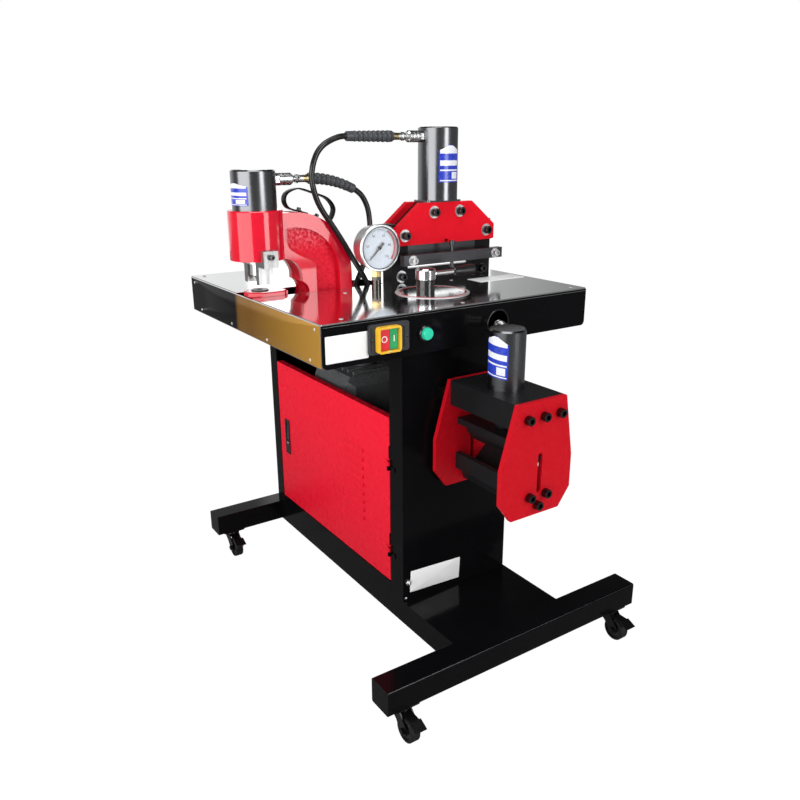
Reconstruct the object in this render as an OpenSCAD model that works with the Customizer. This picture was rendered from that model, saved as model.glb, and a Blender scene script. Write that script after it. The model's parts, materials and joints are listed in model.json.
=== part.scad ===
// Busbar processing machine: a punching head, a cutting head and a bending
// head on one wheeled cabinet. X runs along the front skirt, the front faces
// -Y, Z points up and the castors stand on Z = 0.

/* [Base] */
// Length of each cross beam
base_w = 650; // [560:10:900]
// Depth over the two cross beams
base_d = 884; // [860:2:1100]
// Depth of a cross beam
beam_d = 56; // [48:1:80]
// Height of a cross beam
beam_h = 52; // [40:1:80]
// Corner radius of a cross beam
beam_r = 4; // [1:0.5:10]
// Sheet thickness of the deck between the beams
deck_t = 3; // [2:0.5:6]

/* [Castors] */
// Diameter of a wheel
wheel_d = 50; // [40:1:75]
// Height of the swivel head over the wheel
swivel_h = 20; // [18:1:30]
// Width of a wheel
wheel_w = 20; // [14:1:26]
// Distance from the swivel axis back to the wheel axle
wheel_trail = 27; // [24:1:32]
// Distance from a beam's end to the swivel axis
castor_inset = 45; // [34:1:90]
// Diameter of the wheel axle
axle_d = 8; // [5:0.5:10]
// Diameter of the king pin
king_d = 10; // [8:0.5:12]
// Thickness of a fork cheek
fork_t = 2.5; // [2:0.5:4]
// Length of a brake pedal from the swivel axis
pedal_len = 68; // [64:1:76]

/* [Cabinet] */
// Width of the cabinet
cabinet_w = 279; // [250:1:340]
// Distance from the middle of the base to the front wall
cabinet_front = 214; // [200:1:230]
// Distance from the middle of the base to the back wall
cabinet_back = 405; // [380:1:420]
// Height of the cabinet
cabinet_h = 551; // [440:1:680]
// Sheet thickness of the cabinet
sheet_t = 3; // [2:0.5:5]
// Width of the strip in front of the door
strip_front = 46; // [36:1:60]
// Width of the strip behind the door
strip_back = 36; // [26:1:60]
// Height of the sill under the door
sill_h = 25; // [20:1:60]

/* [Door] */
// Height of the door
door_h = 376; // [330:1:440]
// Depth of the door's folded edge
door_fold = 15; // [10:1:22]
// Sheet thickness of the door
door_t = 2; // [1.5:0.5:3]
// Gap around the door
door_gap = 3; // [2:0.5:5]
// Number of louvres
louvre_n = 9; // [3:1:11]
// Distance between louvres
louvre_pitch = 20.4; // [16:0.2:22]
// Length of a louvre
louvre_len = 82; // [50:1:110]
// Diameter of a hinge knuckle
knuckle_d = 7; // [6:0.5:7]
// Diameter of a hinge pin
pin_d = 4; // [3:0.5:4.5]
// Height of the catch plate
catch_h = 94; // [84:1:110]

/* [Table] */
// Length of the table
table_w = 650; // [640:10:900]
// Distance from the middle of the base to the table's front edge
table_front = 241; // [236:1:260]
// Distance from the middle of the base to the table's back edge
table_back = 424; // [410:1:440]
// Height of the skirt
skirt_h = 80; // [76:1:110]
// Thickness of the skirt
skirt_t = 3; // [2:0.5:5]
// Thickness of the table's bottom plate
tray_t = 6; // [4:0.5:8]
// Thickness of the stainless top
top_t = 2.5; // [1.5:0.5:4]

/* [Controls] */
// Width of the switch box
switch_w = 87; // [80:1:92]
// Height of the switch box
switch_h = 56; // [54:1:60]
// Travel of the two buttons
button_travel = 3; // [1:0.5:3]
// Diameter of the pilot lamp's lens
lens_d = 25; // [18:1:28]
// Diameter of the hose hole in the front skirt
hose_hole_d = 54; // [40:1:60]

/* [Gauge and valve] */
// Diameter of the gauge's bezel
gauge_d = 100; // [90:1:104]
// Depth of the gauge
gauge_depth = 42; // [36:1:46]
// Diameter of the valve's round cover plate
cover_d = 158; // [130:1:164]
// Diameter of the valve post
post_d = 39; // [30:1:40]
// Diameter of the valve hub
hub_d = 43; // [38:1:50]
// Reach of the valve lever from its axis
lever_reach = 130; // [110:1:145]

/* [Punching head] */
// Diameter of the head's round nose
nose_d = 112; // [104:1:116]
// Thickness of the cast frame
punch_t = 66; // [60:1:70]
// Radius of the frame's outer arc
arc_r = 133; // [125:1:138]
// Radius of the throat
throat_r = 42.5; // [38:0.5:44]
// Depth of the pocket on each side of the frame
pocket_deep = 14; // [6:1:18]
// Diameter of the cylinder
punch_cyl_d = 90; // [86:1:98]
// Height of the cylinder
punch_cyl_h = 78; // [74:1:110]
// Diameter of the punch
punch_d = 12; // [6:0.5:16]
// Stroke of the punch
punch_stroke = 20; // [10:1:20]

/* [Cutting head] */
// Width of the cutter's frame
cutter_w = 282; // [270:1:284]
// Thickness of the cutter's frame
cutter_t = 36; // [34:1:40]
// Width of a column of the frame
column_w = 44; // [40:1:50]
// Height of the slot
slot_h = 18; // [14:1:24]
// Thickness of a red side plate
side_plate_t = 15; // [10:1:16]
// Diameter of the cylinder
cutter_cyl_d = 90; // [86:1:100]
// Height of the cylinder
cutter_cyl_h = 156; // [130:1:180]
// Stroke of the blade
blade_stroke = 22; // [10:1:22]

/* [Bending head] */
// Width of an end plate at its widest
bend_w = 177; // [165:1:190]
// Depth over the two end plates
bend_d = 210; // [190:1:225]
// Thickness of an end plate
end_plate_t = 10; // [8:1:14]
// Diameter of the cylinder
bend_cyl_d = 72; // [68:1:90]
// Height of the cylinder
bend_cyl_h = 116; // [100:1:118]
// Width of the die's groove
groove_w = 66; // [50:1:72]
// Stroke of the bending ram
bend_stroke = 50; // [20:1:50]

/* [Fasteners and fits] */
// Thread diameter of the large socket bolts
bolt_d = 12; // [10:1:14]
// Thread diameter of the clamp bar's bolts
bar_bolt_d = 10; // [8:1:12]
// Radial clearance of shafts and pins that run in a bore
run_clear = 0.05; // [0.02:0.01:0.1]
// Gap between pieces that slide past each other
slide_clear = 0.5; // [0.3:0.1:0.8]

/* [Hidden] */
$fn = 64;
eps = 0.01;
hose_d = 12;
hose_sides = 8;

// Levels
castor_h = wheel_d + swivel_h;
beam_z = castor_h;
deck_z = castor_h + beam_h;
tray_z = deck_z + cabinet_h;
top_z = tray_z + skirt_h;
table_z = top_z + top_t;

// Castors
castor_x = base_w / 2 - castor_inset;
castor_y = base_d / 2 - beam_d / 2;
wheel_z = wheel_d / 2;
pivot_y = -12;
pivot_z = wheel_d + 3;
cheek_in = wheel_w / 2 + 1.5;

// Cabinet and door
cab_x = cabinet_w / 2;
door_y0 = -cabinet_front + strip_front + door_gap;
door_y1 = cabinet_back - strip_back - door_gap;
door_z0 = deck_z + sill_h + door_gap;
door_z1 = door_z0 + door_h;
hinge_x = -cab_x - knuckle_d / 2;
hinge_y = door_y0 - door_gap / 2;
hinge_zs = [door_z0 + 62, door_z1 - 114];
knuckle_h = 10;
catch_y = door_y1 - 43;
catch_z = door_z0 + 182;
louvre_y = door_y0 + 146;
louvre_z = door_z0 + 101;
louvre_out = 4;

// Front controls
switch_x = -189;
switch_z = tray_z + 42.5;
guard_x = switch_x - 7;
guard_w = 50;
guard_h = 49;
box_out = 9;
button_in = 4;
lamp_x = -105;
lamp_z = tray_z + 39;
hose_hole_x = 76;
hose_hole_z = tray_z + 36;

// Gauge and valve
gauge_x = -57;
gauge_y = -12;
gauge_z = table_z + 89.5;
stem_y = 8;
stem_d = 21;
valve_x = 8;
valve_y = -84;
post_top = table_z + 27;
spindle_d = 14;
cover_x = 20;
cover_y = -92;
cover_t = 1.2;
block_w = 80;
block_h = 58;

// Punching head
jaw_d = punch_t - 7;
punch_x = -table_w / 2 + skirt_t + jaw_d / 2 + 0.5;
punch_y = 92;
jaw_z = table_z + 9.5;
nose_z = table_z + 74.5;
nose_top = nose_z + 99;
arc_x = punch_x + 71;
arc_z = nose_top - 7 - arc_r;
spine_x = arc_x + arc_r;
throat_x = punch_x + 42;
throat_z = nose_z - throat_r;
relief_x = punch_x + 74;
relief_z = table_z + 1.5;
relief_r = 25;
frame_foot = tray_z + tray_t;
rod_d = 46;
piston_d = 68;
die_d = 37;
die_proud = 2;
die_h = 26;
jaw_len = 50;
lip_gap = 0.3;
jaw_lip = [[-31, -12], [-31, 12], [-9, 36], [40, 36], [52, 24], [52, -24], [40, -36], [-9, -36]];
leg_w = 32;
leg_t = 14;
leg_in = 23;
leg_gap = 14;
foot_t = 12;
slot_y0 = punch_y - punch_t / 2 - 1.5;
slot_y1 = punch_y + punch_t / 2 + 16;
slot_x1 = -8;

// Cutting head
cutter_x = 144;
cutter_y = 58;
cut_y0 = cutter_y - cutter_t / 2;
cut_y1 = cutter_y + cutter_t / 2;
slot_z = table_z + 31;
window_w = cutter_w - 2 * column_w;
plate_z = table_z + 84.5;
plate_mid = plate_z + 35;
cutter_top = plate_z + 90;
cutter_flange = 4;
cutter_shift = -3;
slope_in = 22;
cutter_rod_d = 40;
blade_t = 12;
blade_gap = 0.3;
bar_y = cut_y0 - 40;
bar_t = 16;
bar_h = 23;
bar_z = table_z + 44.5;
bar_len = cutter_w - 4;
bar_bolt_x = cutter_w / 2 - 25;
clamp_d = 8;
plate_half = cutter_w / 2 - 1.5;
shoulder = cutter_w / 2 - 69;
bolt_out = cutter_w / 2 - 26;
top_bolt = max(shoulder / 2, cutter_rod_d / 2 - cutter_shift + bolt_d / 2 + 1);
cutter_bolts = [[-top_bolt, plate_z + 69], [top_bolt, plate_z + 69],
    [-bolt_out, plate_z + 22], [bolt_out, plate_z + 22]];
low_bolts = [[-bolt_out, table_z + 14.5], [bolt_out, table_z + 14.5]];

// Bending head
bend_x = 23;
bend_side = -7;
bend_y1 = -cabinet_front - 12;
bend_y0 = bend_y1 - bend_d;
bend_mid = (bend_y0 + bend_y1) / 2;
bend_top = tray_z - 67;
bend_low = bend_top - 228;
head_w = bend_w - 56;
head_h = 51;
ram_z = bend_top - 94;
ram_w = 88;
ram_t = 13;
nose_w = 36;
nose_h = 40;
die_top = bend_top - 158;
die_w = bend_w - 87;
bend_rod_d = 36;
bend_piston_d = 50;
guide_d = 10;
guide_z = ram_z - 22;
inner_y0 = bend_y0 + end_plate_t;
inner_y1 = bend_y1 - end_plate_t;
bend_bolts = [[-36, bend_top - 31], [4, bend_top - 31], [44, bend_top - 31],
              [-24.5, bend_top - 188], [16.5, bend_top - 188], [-4, bend_top - 208]];
bend_angle = atan2(-table_front - bend_mid, hose_hole_x - bend_x);

// Pump
tank_h = 262;

// Couplings and hoses
nipple = 10;
coupler_len = 78;
short_coupler = 62;
sleeve_len = 113;
sleeve_d = 24.5;
punch_port_z = nose_top + 58;
cutter_port_z = cutter_top + cutter_flange + 136;
bend_port_z = bend_top + bend_cyl_h - 14;
sleeve_bend_r = 250;
sleeve_turn = sleeve_len / sleeve_bend_r * 180 / PI;
hose_port_z = top_z - 47;
punch_start = [punch_x + punch_cyl_d / 2 + coupler_len + sleeve_bend_r * sin(sleeve_turn), punch_y,
    punch_port_z - sleeve_bend_r * (1 - cos(sleeve_turn))];
punch_lead = punch_start + 7 * [cos(sleeve_turn), 0, -sin(sleeve_turn)];
punch_route = concat([punch_start, punch_lead], [[-42, 92, 950], [-33, 92, 938], [-25, 92, 920],
    [-21, 92, 899], [-20, 92, 877], [-22, 92, 855], [-27, 92, 832], [-34, 92, 810], [-43, 91, 789],
    [-55, 89, 768], [-66, 84, 749], [-72, 74, 732], [-73, 57, 718], [-68, 37, 709], [-57, 16, hose_port_z],
    [-43, -5, hose_port_z], [-28, -21, hose_port_z], [-18, -34, hose_port_z],
    [-16, valve_y + block_w / 2 + 5, hose_port_z], [-16, valve_y + block_w / 2, hose_port_z]]);
cutter_start = [cutter_x + cutter_shift - cutter_cyl_d / 2 - coupler_len - sleeve_len, cutter_y, cutter_port_z];
cutter_route = concat([cutter_start, cutter_start - [6, 0, 0]], [[-114, 57, 1068], [-132, 56, 1062],
    [-150, 54, 1053], [-164, 53, 1040], [-174, 51, 1024], [-180, 50, 1006], [-182, 50, 988],
    [-179, 49, 966], [-171, 49, 942], [-158, 49, 919], [-142, 49, 897], [-126, 49, 874], [-110, 49, 850],
    [-94, 50, 825], [-80, 53, 806], [-66, 58, 788], [-52, 63, 768], [-41, 66, 748], [-31, 62, 729],
    [-20, 48, 715], [-8, 28, 708], [4, 6, hose_port_z], [14, -16, hose_port_z],
    [20, valve_y + block_w / 2 + 6, hose_port_z], [20, valve_y + block_w / 2, hose_port_z]]);
bend_far = bend_cyl_d / 2 + short_coupler;
bend_start = [bend_x + bend_far * cos(bend_angle), bend_mid + bend_far * sin(bend_angle), bend_port_z];
bend_lead = bend_start + 6 * [cos(bend_angle), sin(bend_angle), 0];
bender_route = concat([bend_start, bend_lead], [[86, -222, 706], [93, -207, 706], [99, -184, 706],
    [100, -160, 706], [96, -136, 706], [86, -114, 706], [70, -99, 706],
    [valve_x + block_w / 2 + 7, valve_y - 10, 706], [valve_x + block_w / 2, valve_y - 10, 706]]);

// The whole machine is centred on its own outline
frame_x = -(min(-table_w / 2, punch_x - nose_d / 2) + max(table_w, base_w) / 2) / 2;
frame_y = (castor_y + pedal_len - base_d / 2) / 2;

// ---- shared shapes ----

module place() translate([frame_x, frame_y, 0]) children();

module rounded_rect(w, h, r) {
    square([w - 2 * r, h], center = true);
    square([w, h - 2 * r], center = true);
    for (x = [-1, 1], y = [-1, 1])
        translate([x * (w / 2 - r), y * (h / 2 - r)]) circle(r);
}

// A box given by its two opposite corners
module span(a, b) {
    translate(a) cube(b - a);
}

// A 2D outline in X and Z, made solid from y0 to y1
module along_y(y0, y1) {
    translate([0, y1, 0]) rotate([90, 0, 0]) linear_extrude(y1 - y0) children();
}

// A cylinder along Y from y0 to y1
module rod_y(x, z, d, y0, y1) {
    translate([x, y1, z]) rotate([90, 0, 0]) cylinder(d = d, h = y1 - y0);
}

// A cylinder along X from x0 to x1
module rod_x(y, z, d, x0, x1) {
    translate([x0, y, z]) rotate([0, 90, 0]) cylinder(d = d, h = x1 - x0);
}

module turned(profile) {
    rotate_extrude() polygon(profile);
}

// A cylinder with its top edge chamfered
module chamfered(d, h, c) {
    turned([[0, 0], [d / 2, 0], [d / 2, h - c], [d / 2 - c, h], [0, h]]);
}

// A socket-head bolt pointing along +Y with the underside of its head at y = 0
module socket_bolt(d, len) {
    rotate([-90, 0, 0]) cylinder(d = d, h = len);
    difference() {
        rotate([90, 0, 0]) chamfered(1.5 * d, d, 1);
        translate([0, -d - eps, 0]) rotate([-90, 30, 0]) cylinder(d = 0.9 * d, h = d / 2, $fn = 6);
    }
}

// A washer whose back lies on y = 0
module washer_y(d_out, d_in, t) {
    rotate([90, 0, 0]) difference() {
        cylinder(d = d_out, h = t);
        translate([0, 0, -1]) cylinder(d = d_in, h = t + 2);
    }
}

// A round tube swept along a list of points
function unit(v) = v / norm(v);
function heading(p, i) = unit(p[min(i + 1, len(p) - 1)] - p[max(i - 1, 0)]);
function sideways(p, i, last) =
    let (t = heading(p, i)) unit(last - (last * t) * t);
function frames(p, i, last) = i == len(p) ? [] :
    let (n = sideways(p, i, last)) concat([n], frames(p, i + 1, n));
function ring_points(p, d, sides) =
    let (side = frames(p, 0, [0, 1, 0.3]))
    [for (i = [0:len(p) - 1]) let (t = heading(p, i), n = side[i], m = cross(t, n))
        for (k = [0:sides - 1]) p[i] + d / 2 * (cos(360 * k / sides) * n + sin(360 * k / sides) * m)];

module hose_tube(p, d, sides) {
    rings = len(p);
    walls = [for (i = [0:rings - 2], k = [0:sides - 1])
        let (j = (k + 1) % sides)
        for (f = [[i * sides + k, (i + 1) * sides + k, (i + 1) * sides + j],
                  [i * sides + k, (i + 1) * sides + j, i * sides + j]]) f];
    start = [[for (k = [0:sides - 1]) k]];
    finish = [[for (k = [sides - 1:-1:0]) (rings - 1) * sides + k]];
    polyhedron(ring_points(p, d, sides), concat(walls, start, finish));
}

// ---- base and castors ----

module beam() {
    rotate([90, 0, 90]) translate([0, 0, -base_w / 2])
        linear_extrude(base_w) rounded_rect(beam_d, beam_h, beam_r);
}

module base_frame() place() color("#15151a") {
    for (s = [-1, 1])
        translate([0, s * castor_y, beam_z + beam_h / 2]) beam();
    reach = base_d / 2 - beam_d + beam_r;
    difference() {
        span([-cab_x, -reach, beam_z], [cab_x, reach, deck_z]);
        span([-cab_x + deck_t, -reach - 1, beam_z - 1], [cab_x - deck_t, reach + 1, deck_z - deck_t]);
    }
    for (y = [-180, 0, 180])
        span([-cab_x + deck_t, y - deck_t / 2, beam_z + 6],
             [cab_x - deck_t, y + deck_t / 2, deck_z - deck_t]);
}

module castor_plate() {
    plate = 58;
    difference() {
        translate([0, 0, castor_h - 2.5]) linear_extrude(2.5) rounded_rect(plate, 52, 6);
        for (x = [-1, 1], y = [-1, 1])
            translate([x * 22, y * 19, castor_h - 3]) cylinder(d = 6.5, h = 4);
    }
    cup = castor_h - 2.5;
    turned_z = pivot_z + 7;
    translate([0, 0, turned_z + 0.4]) cylinder(d1 = 40, d2 = 34, h = cup - turned_z - 0.4);
    translate([0, 0, pivot_z + 0.5]) cylinder(d = king_d, h = cup - pivot_z);
    translate([0, 0, pivot_z - 2]) cylinder(d = king_d + 5, h = 2.5);
}

module castor_plates() place() color("#1c1c1f")
    for (x = [-1, 1], y = [-1, 1])
        translate([x * castor_x, y * castor_y, 0]) castor_plate();

// Fork with its axle; the swivel axis is at the origin
module fork() color("#222226") {
    top = pivot_z + 4;
    ay = -wheel_trail;
    difference() {
        union() {
            translate([0, 0, top]) cylinder(d = 40, h = 3);
            span([-cheek_in - fork_t, -16, top], [cheek_in + fork_t, 14, top + 3]);
        }
        translate([0, 0, top - 1]) cylinder(d = king_d + 2 * run_clear, h = 5);
    }
    for (s = [-1, 1])
        translate([s * (cheek_in + fork_t / 2) - fork_t / 2, 0, 0]) rotate([90, 0, 90])
            linear_extrude(fork_t) {
                polygon([[14, top + 3], [-16, top + 3], [ay - 11, wheel_z + 12], [ay - 9, wheel_z - 3],
                         [ay + 8, wheel_z - 4], [ay + 22, wheel_z + 14], [14, top - 5]]);
                translate([ay, wheel_z]) circle(d = axle_d + 12);
            }
    rod_x(ay, wheel_z, axle_d, -cheek_in - fork_t, cheek_in + fork_t);
    for (s = [-1, 1])
        translate([s * (cheek_in + fork_t + 2), ay, wheel_z]) rotate([0, 90, 0])
            cylinder(d = axle_d + 5, h = 4, center = true, $fn = 6);
    rod_x(pivot_y, pivot_z, pin_d, -cheek_in - fork_t, cheek_in + fork_t);
}

module wheel() color("#1a1a1a")
    translate([0, -wheel_trail, wheel_z]) rotate([0, 90, 0]) rotate_extrude() {
        half = wheel_w / 2;
        tread = wheel_d / 2;
        bore = axle_d / 2 + run_clear;
        difference() {
            union() {
                translate([bore, -half]) square([tread - 2 - bore, 2 * half]);
                translate([tread - 3, -half + 2]) square([3, 2 * half - 4]);
                for (s = [-1, 1]) translate([tread - 2, s * (half - 2)]) circle(2);
            }
            for (s = [-1, 1])
                translate([(bore + tread) / 2 + 0.5, s * half]) square([tread - bore - 11, 6], center = true);
        }
    }

module pedal() color("#2a2a2d") difference() {
    union() {
        rod_x(pivot_y, pivot_z, 7, -cheek_in + 1.2, cheek_in - 1.2);
        translate([-cheek_in + 1.5, 0, 0]) rotate([90, 0, 90]) linear_extrude(2 * cheek_in - 3)
            polygon([[pivot_y, pivot_z], [-46, pivot_z], [-50, pivot_z - 1], [-50, pivot_z + 2],
                     [pivot_y, pivot_z + 3]]);
        translate([-13, 0, 0]) rotate([90, 0, 90]) linear_extrude(26)
            polygon([[-45, pivot_z], [-pedal_len + 2, pivot_z - 9], [-pedal_len, pivot_z - 6.5],
                     [-47, pivot_z + 3]]);
    }
    rod_x(pivot_y, pivot_z, pin_d + 2 * run_clear, -20, 20);
}

module at_corner(x, y) place() translate([x * castor_x, y * castor_y, 0]) children();
module fork_fl() at_corner(-1, -1) fork();
module fork_fr() at_corner(1, -1) fork();
module fork_bl() at_corner(-1, 1) fork();
module fork_br() at_corner(1, 1) fork();
module wheel_fl() at_corner(-1, -1) wheel();
module wheel_fr() at_corner(1, -1) wheel();
module wheel_bl() at_corner(-1, 1) wheel();
module wheel_br() at_corner(1, 1) wheel();
module pedal_fl() at_corner(-1, -1) pedal();
module pedal_fr() at_corner(1, -1) pedal();
module pedal_bl() at_corner(-1, 1) pedal();
module pedal_br() at_corner(1, 1) pedal();

// ---- cabinet and door ----

module cabinet() place() color("#131316") difference() {
    span([-cab_x, -cabinet_front, deck_z], [cab_x, cabinet_back, tray_z]);
    span([-cab_x + sheet_t, -cabinet_front + sheet_t, deck_z + sheet_t],
         [cab_x - sheet_t, cabinet_back - sheet_t, tray_z - sheet_t]);
    span([-cab_x + 28, -cabinet_front + 28, tray_z - 10], [cab_x - 28, cabinet_back - 28, tray_z + 1]);
    span([-cab_x - 1, door_y0 - door_gap, deck_z + sill_h],
         [-cab_x + sheet_t + 1, door_y1 + door_gap, tray_z - 18]);
    for (k = [0:7])
        along_y(cabinet_back - sheet_t - 1, cabinet_back + 1)
            translate([0, deck_z + 120 + 18 * k]) rounded_rect(140, 6, 2.9);
}

module louvre() {
    rotate([90, 0, 0]) translate([0, 0, -louvre_len / 2]) linear_extrude(louvre_len)
        polygon([[0, 0], [0, 10], [-louvre_out, 1.5], [-louvre_out, 0]]);
}

module door() place() color("#d81f30") {
    back = -cab_x + door_fold;
    difference() {
        span([-cab_x, door_y0, door_z0], [back, door_y1, door_z1]);
        span([-cab_x + door_t, door_y0 + door_t, door_z0 + door_t],
             [back + 1, door_y1 - door_t, door_z1 - door_t]);
        for (k = [0:louvre_n - 1])
            span([-cab_x - 1, louvre_y - louvre_len / 2 + 2, louvre_z + k * louvre_pitch - 1],
                 [-cab_x + door_t + 1, louvre_y + louvre_len / 2 - 2, louvre_z + k * louvre_pitch + 5]);
        span([-cab_x - 1, catch_y - 9, catch_z - catch_h / 2 + 4],
             [-cab_x + door_t + 1, catch_y + 9, catch_z + catch_h / 2 - 4]);
        for (z = hinge_zs)
            span([-cab_x - 1, door_y0 - 1, z + 2 * knuckle_h + 3],
                 [back + 1, door_y0 + 4, z + 2 * knuckle_h + 32]);
    }
    for (k = [0:louvre_n - 1])
        translate([-cab_x, louvre_y, louvre_z + k * louvre_pitch + 1]) difference() {
            louvre();
            translate([1, 0, -1.2]) scale([1, 1 - 3 / louvre_len, 1]) louvre();
        }
    for (z = hinge_zs) translate([0, 0, z + knuckle_h + 0.4]) {
        difference() {
            union() {
                translate([hinge_x, hinge_y, 0]) cylinder(d = knuckle_d, h = knuckle_h - 0.4);
                span([-cab_x - 2, hinge_y, 0], [-cab_x, door_y0 + 14, knuckle_h - 0.4]);
            }
            translate([hinge_x, hinge_y, -1]) cylinder(d = pin_d + 2 * run_clear, h = knuckle_h + 2);
        }
    }
}

module hinge_pins() place() color("#1d1d1f")
    for (z = hinge_zs) {
        translate([hinge_x, hinge_y, z]) cylinder(d = knuckle_d, h = knuckle_h);
        translate([hinge_x, hinge_y, z]) cylinder(d = pin_d, h = 2 * knuckle_h + 1);
        span([-cab_x - 2, -cabinet_front + strip_front - 18, z], [-cab_x, hinge_y, z + knuckle_h]);
    }

module catch_body() place() color("#202225") difference() {
    union() {
        span([-cab_x - 2, catch_y - 12, catch_z - catch_h / 2],
             [-cab_x, catch_y + 12, catch_z + catch_h / 2]);
        span([-cab_x, catch_y - 8.5, catch_z - catch_h / 2 + 4.5],
             [-cab_x + 12, catch_y + 8.5, catch_z + catch_h / 2 - 4.5]);
    }
    span([-cab_x - 3, catch_y - 7, catch_z - 10], [-cab_x + 9, catch_y + 7, catch_z + catch_h / 2 - 7]);
    rod_y(-cab_x + 3, catch_z + catch_h / 2 - 12, 3 + 2 * run_clear, catch_y - 8.5, catch_y + 8.5);
}

module catch_lever() place() color("#33363a") {
    top = catch_z + catch_h / 2;
    rod_y(-cab_x + 3, top - 12, 3, catch_y - 8.4, catch_y + 8.4);
    along_y(catch_y - 6.5, catch_y + 6.5) translate([-cab_x, 0])
        polygon([[1, top - 9], [5, top - 9], [5, catch_z + 4], [3, catch_z - 8], [-1, catch_z - 8],
                 [-1, catch_z]]);
}

// ---- table ----

module skirt_outline() {
    r = 10;
    translate([0, r / 2]) square([table_w, skirt_h - r], center = true);
    square([table_w - 2 * r, skirt_h], center = true);
    for (s = [-1, 1]) translate([s * (table_w / 2 - r), r - skirt_h / 2]) circle(r);
}

module table_frame() place() color("#121214") difference() {
    along_y(-table_front, table_back) translate([0, tray_z + skirt_h / 2]) skirt_outline();
    span([-table_w / 2 + skirt_t, -table_front + skirt_t, tray_z + tray_t],
         [table_w / 2 - skirt_t, table_back - skirt_t, top_z + 1]);
    rod_y(hose_hole_x, hose_hole_z, hose_hole_d, -table_front - 1, -table_front + skirt_t + 1);
    rod_y(lamp_x, lamp_z, lens_d - 2, -table_front - 1, -table_front + skirt_t + 1);
    along_y(-table_front - 1, -table_front + skirt_t + 1)
        translate([switch_x, switch_z]) rounded_rect(switch_w - 22, switch_h - 18, 4);
    translate([valve_x, valve_y, tray_z - 1]) cylinder(d = 60, h = tray_t + 2);
    translate([punch_x, punch_y, tray_z - 1]) cylinder(d = 26, h = tray_t + 2);
}

module table_top() place() color("#d9dde0") difference() {
    depth = table_front + table_back;
    translate([0, table_back - depth / 2, top_z]) linear_extrude(top_t) rounded_rect(table_w, depth, 4);
    span([-table_w / 2 - 1, slot_y0, top_z - 1], [slot_x1, slot_y1, table_z + 1]);
    span([cutter_x - cutter_w / 2 - 1.5, cut_y0 - 1.5, top_z - 1],
         [cutter_x + cutter_w / 2 + 1.5, cut_y1 + 1.5, table_z + 1]);
    translate([valve_x, valve_y, top_z - 1]) cylinder(d = post_d + 1, h = top_t + 2);
    translate([gauge_x, stem_y, top_z - 1]) cylinder(d = stem_d + 1, h = top_t + 2);
}

// ---- front controls ----

module switch_box() place() color("#1b1b1d") {
    y0 = -table_front - box_out;
    difference() {
        union() {
            along_y(y0 + 2, -table_front) translate([switch_x, switch_z]) rounded_rect(switch_w, switch_h, 5);
            along_y(y0, y0 + 2) translate([switch_x, switch_z]) rounded_rect(switch_w - 8, switch_h - 8, 4);
            along_y(-table_front, -table_front + 22)
                translate([switch_x, switch_z]) rounded_rect(switch_w - 24, switch_h - 20, 3);
        }
        along_y(y0 - 1, y0 + button_in + button_travel + 2)
            translate([guard_x, switch_z]) rounded_rect(guard_w - 8, guard_h - 8, 3);
        for (k = [0:3])
            along_y(y0 - 1, y0 + 1) translate([guard_x + guard_w / 2 + 4 + 3 * k, switch_z])
                rounded_rect(1.5, switch_h - 16, 0.7);
    }
}

module switch_guard() place() color("#f0a81c")
    difference() {
        along_y(-table_front - box_out - 12, -table_front - box_out)
            translate([guard_x, switch_z]) rounded_rect(guard_w, guard_h, 6);
        along_y(-table_front - box_out - 13, -table_front - box_out + 1)
            translate([guard_x, switch_z]) rounded_rect(guard_w - 8, guard_h - 8, 3);
    }

// A push button between x0 and x1, standing proud of the switch box
module button(x0, x1) {
    y0 = -table_front - box_out;
    along_y(y0 - 6, y0 + button_in) translate([(x0 + x1) / 2, switch_z])
        rounded_rect(x1 - x0, guard_h - 9 - 2 * slide_clear, 2);
}

button_split = guard_x + 2;

module stop_button() place() color("#e03038")
    button(guard_x - guard_w / 2 + 4 + slide_clear, button_split - slide_clear);

module start_button() place() color("#35a86a")
    button(button_split + slide_clear, guard_x + guard_w / 2 - 4 - slide_clear);

module pilot_lamp() place() color("#2fd9a0")
    translate([lamp_x, -table_front, lamp_z]) rotate([90, 0, 0]) {
        translate([0, 0, -skirt_t - 22]) cylinder(d = lens_d - 3, h = skirt_t + 22);
        turned([[0, 0], [lens_d / 2 + 3, 0], [lens_d / 2 + 3, 5], [lens_d / 2 + 1.5, 7], [lens_d / 2, 7],
                [lens_d / 2 - 1, 12], [lens_d / 2 - 2.5, 13.5], [0, 14]]);
    }

// ---- selector valve ----

module valve_body() place() color("#2b2d30") difference() {
    union() {
        translate([valve_x, valve_y, top_z - block_h])
            linear_extrude(block_h) rounded_rect(block_w, block_w, 6);
        translate([valve_x, valve_y, top_z]) cylinder(d = post_d, h = post_top - top_z);
    }
    translate([valve_x, valve_y, top_z - 30]) cylinder(d = spindle_d + 2 * run_clear, h = 100);
}

module valve_cover() place() color("#c9cdd0")
    translate([0, 0, table_z]) difference() {
        translate([cover_x, cover_y, 0]) chamfered(cover_d, cover_t, 0.4);
        translate([valve_x, valve_y, -1]) cylinder(d = post_d + 0.4, h = cover_t + 2);
    }

module valve_lever() place() color("#d4d7da")
    translate([valve_x, valve_y, 0]) {
        translate([0, 0, post_top + slide_clear])
            turned([[0, 0], [hub_d / 2 - 1, 0], [hub_d / 2, 1], [hub_d / 2, 20], [hub_d / 2 - 3, 23],
                    [0, 23.5]]);
        translate([0, 0, top_z - 24]) cylinder(d = spindle_d, h = post_top + 2 - top_z + 24);
        rod_x(0, post_top + 10, 10, hub_d / 2 - 6, lever_reach - 50);
    }

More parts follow.
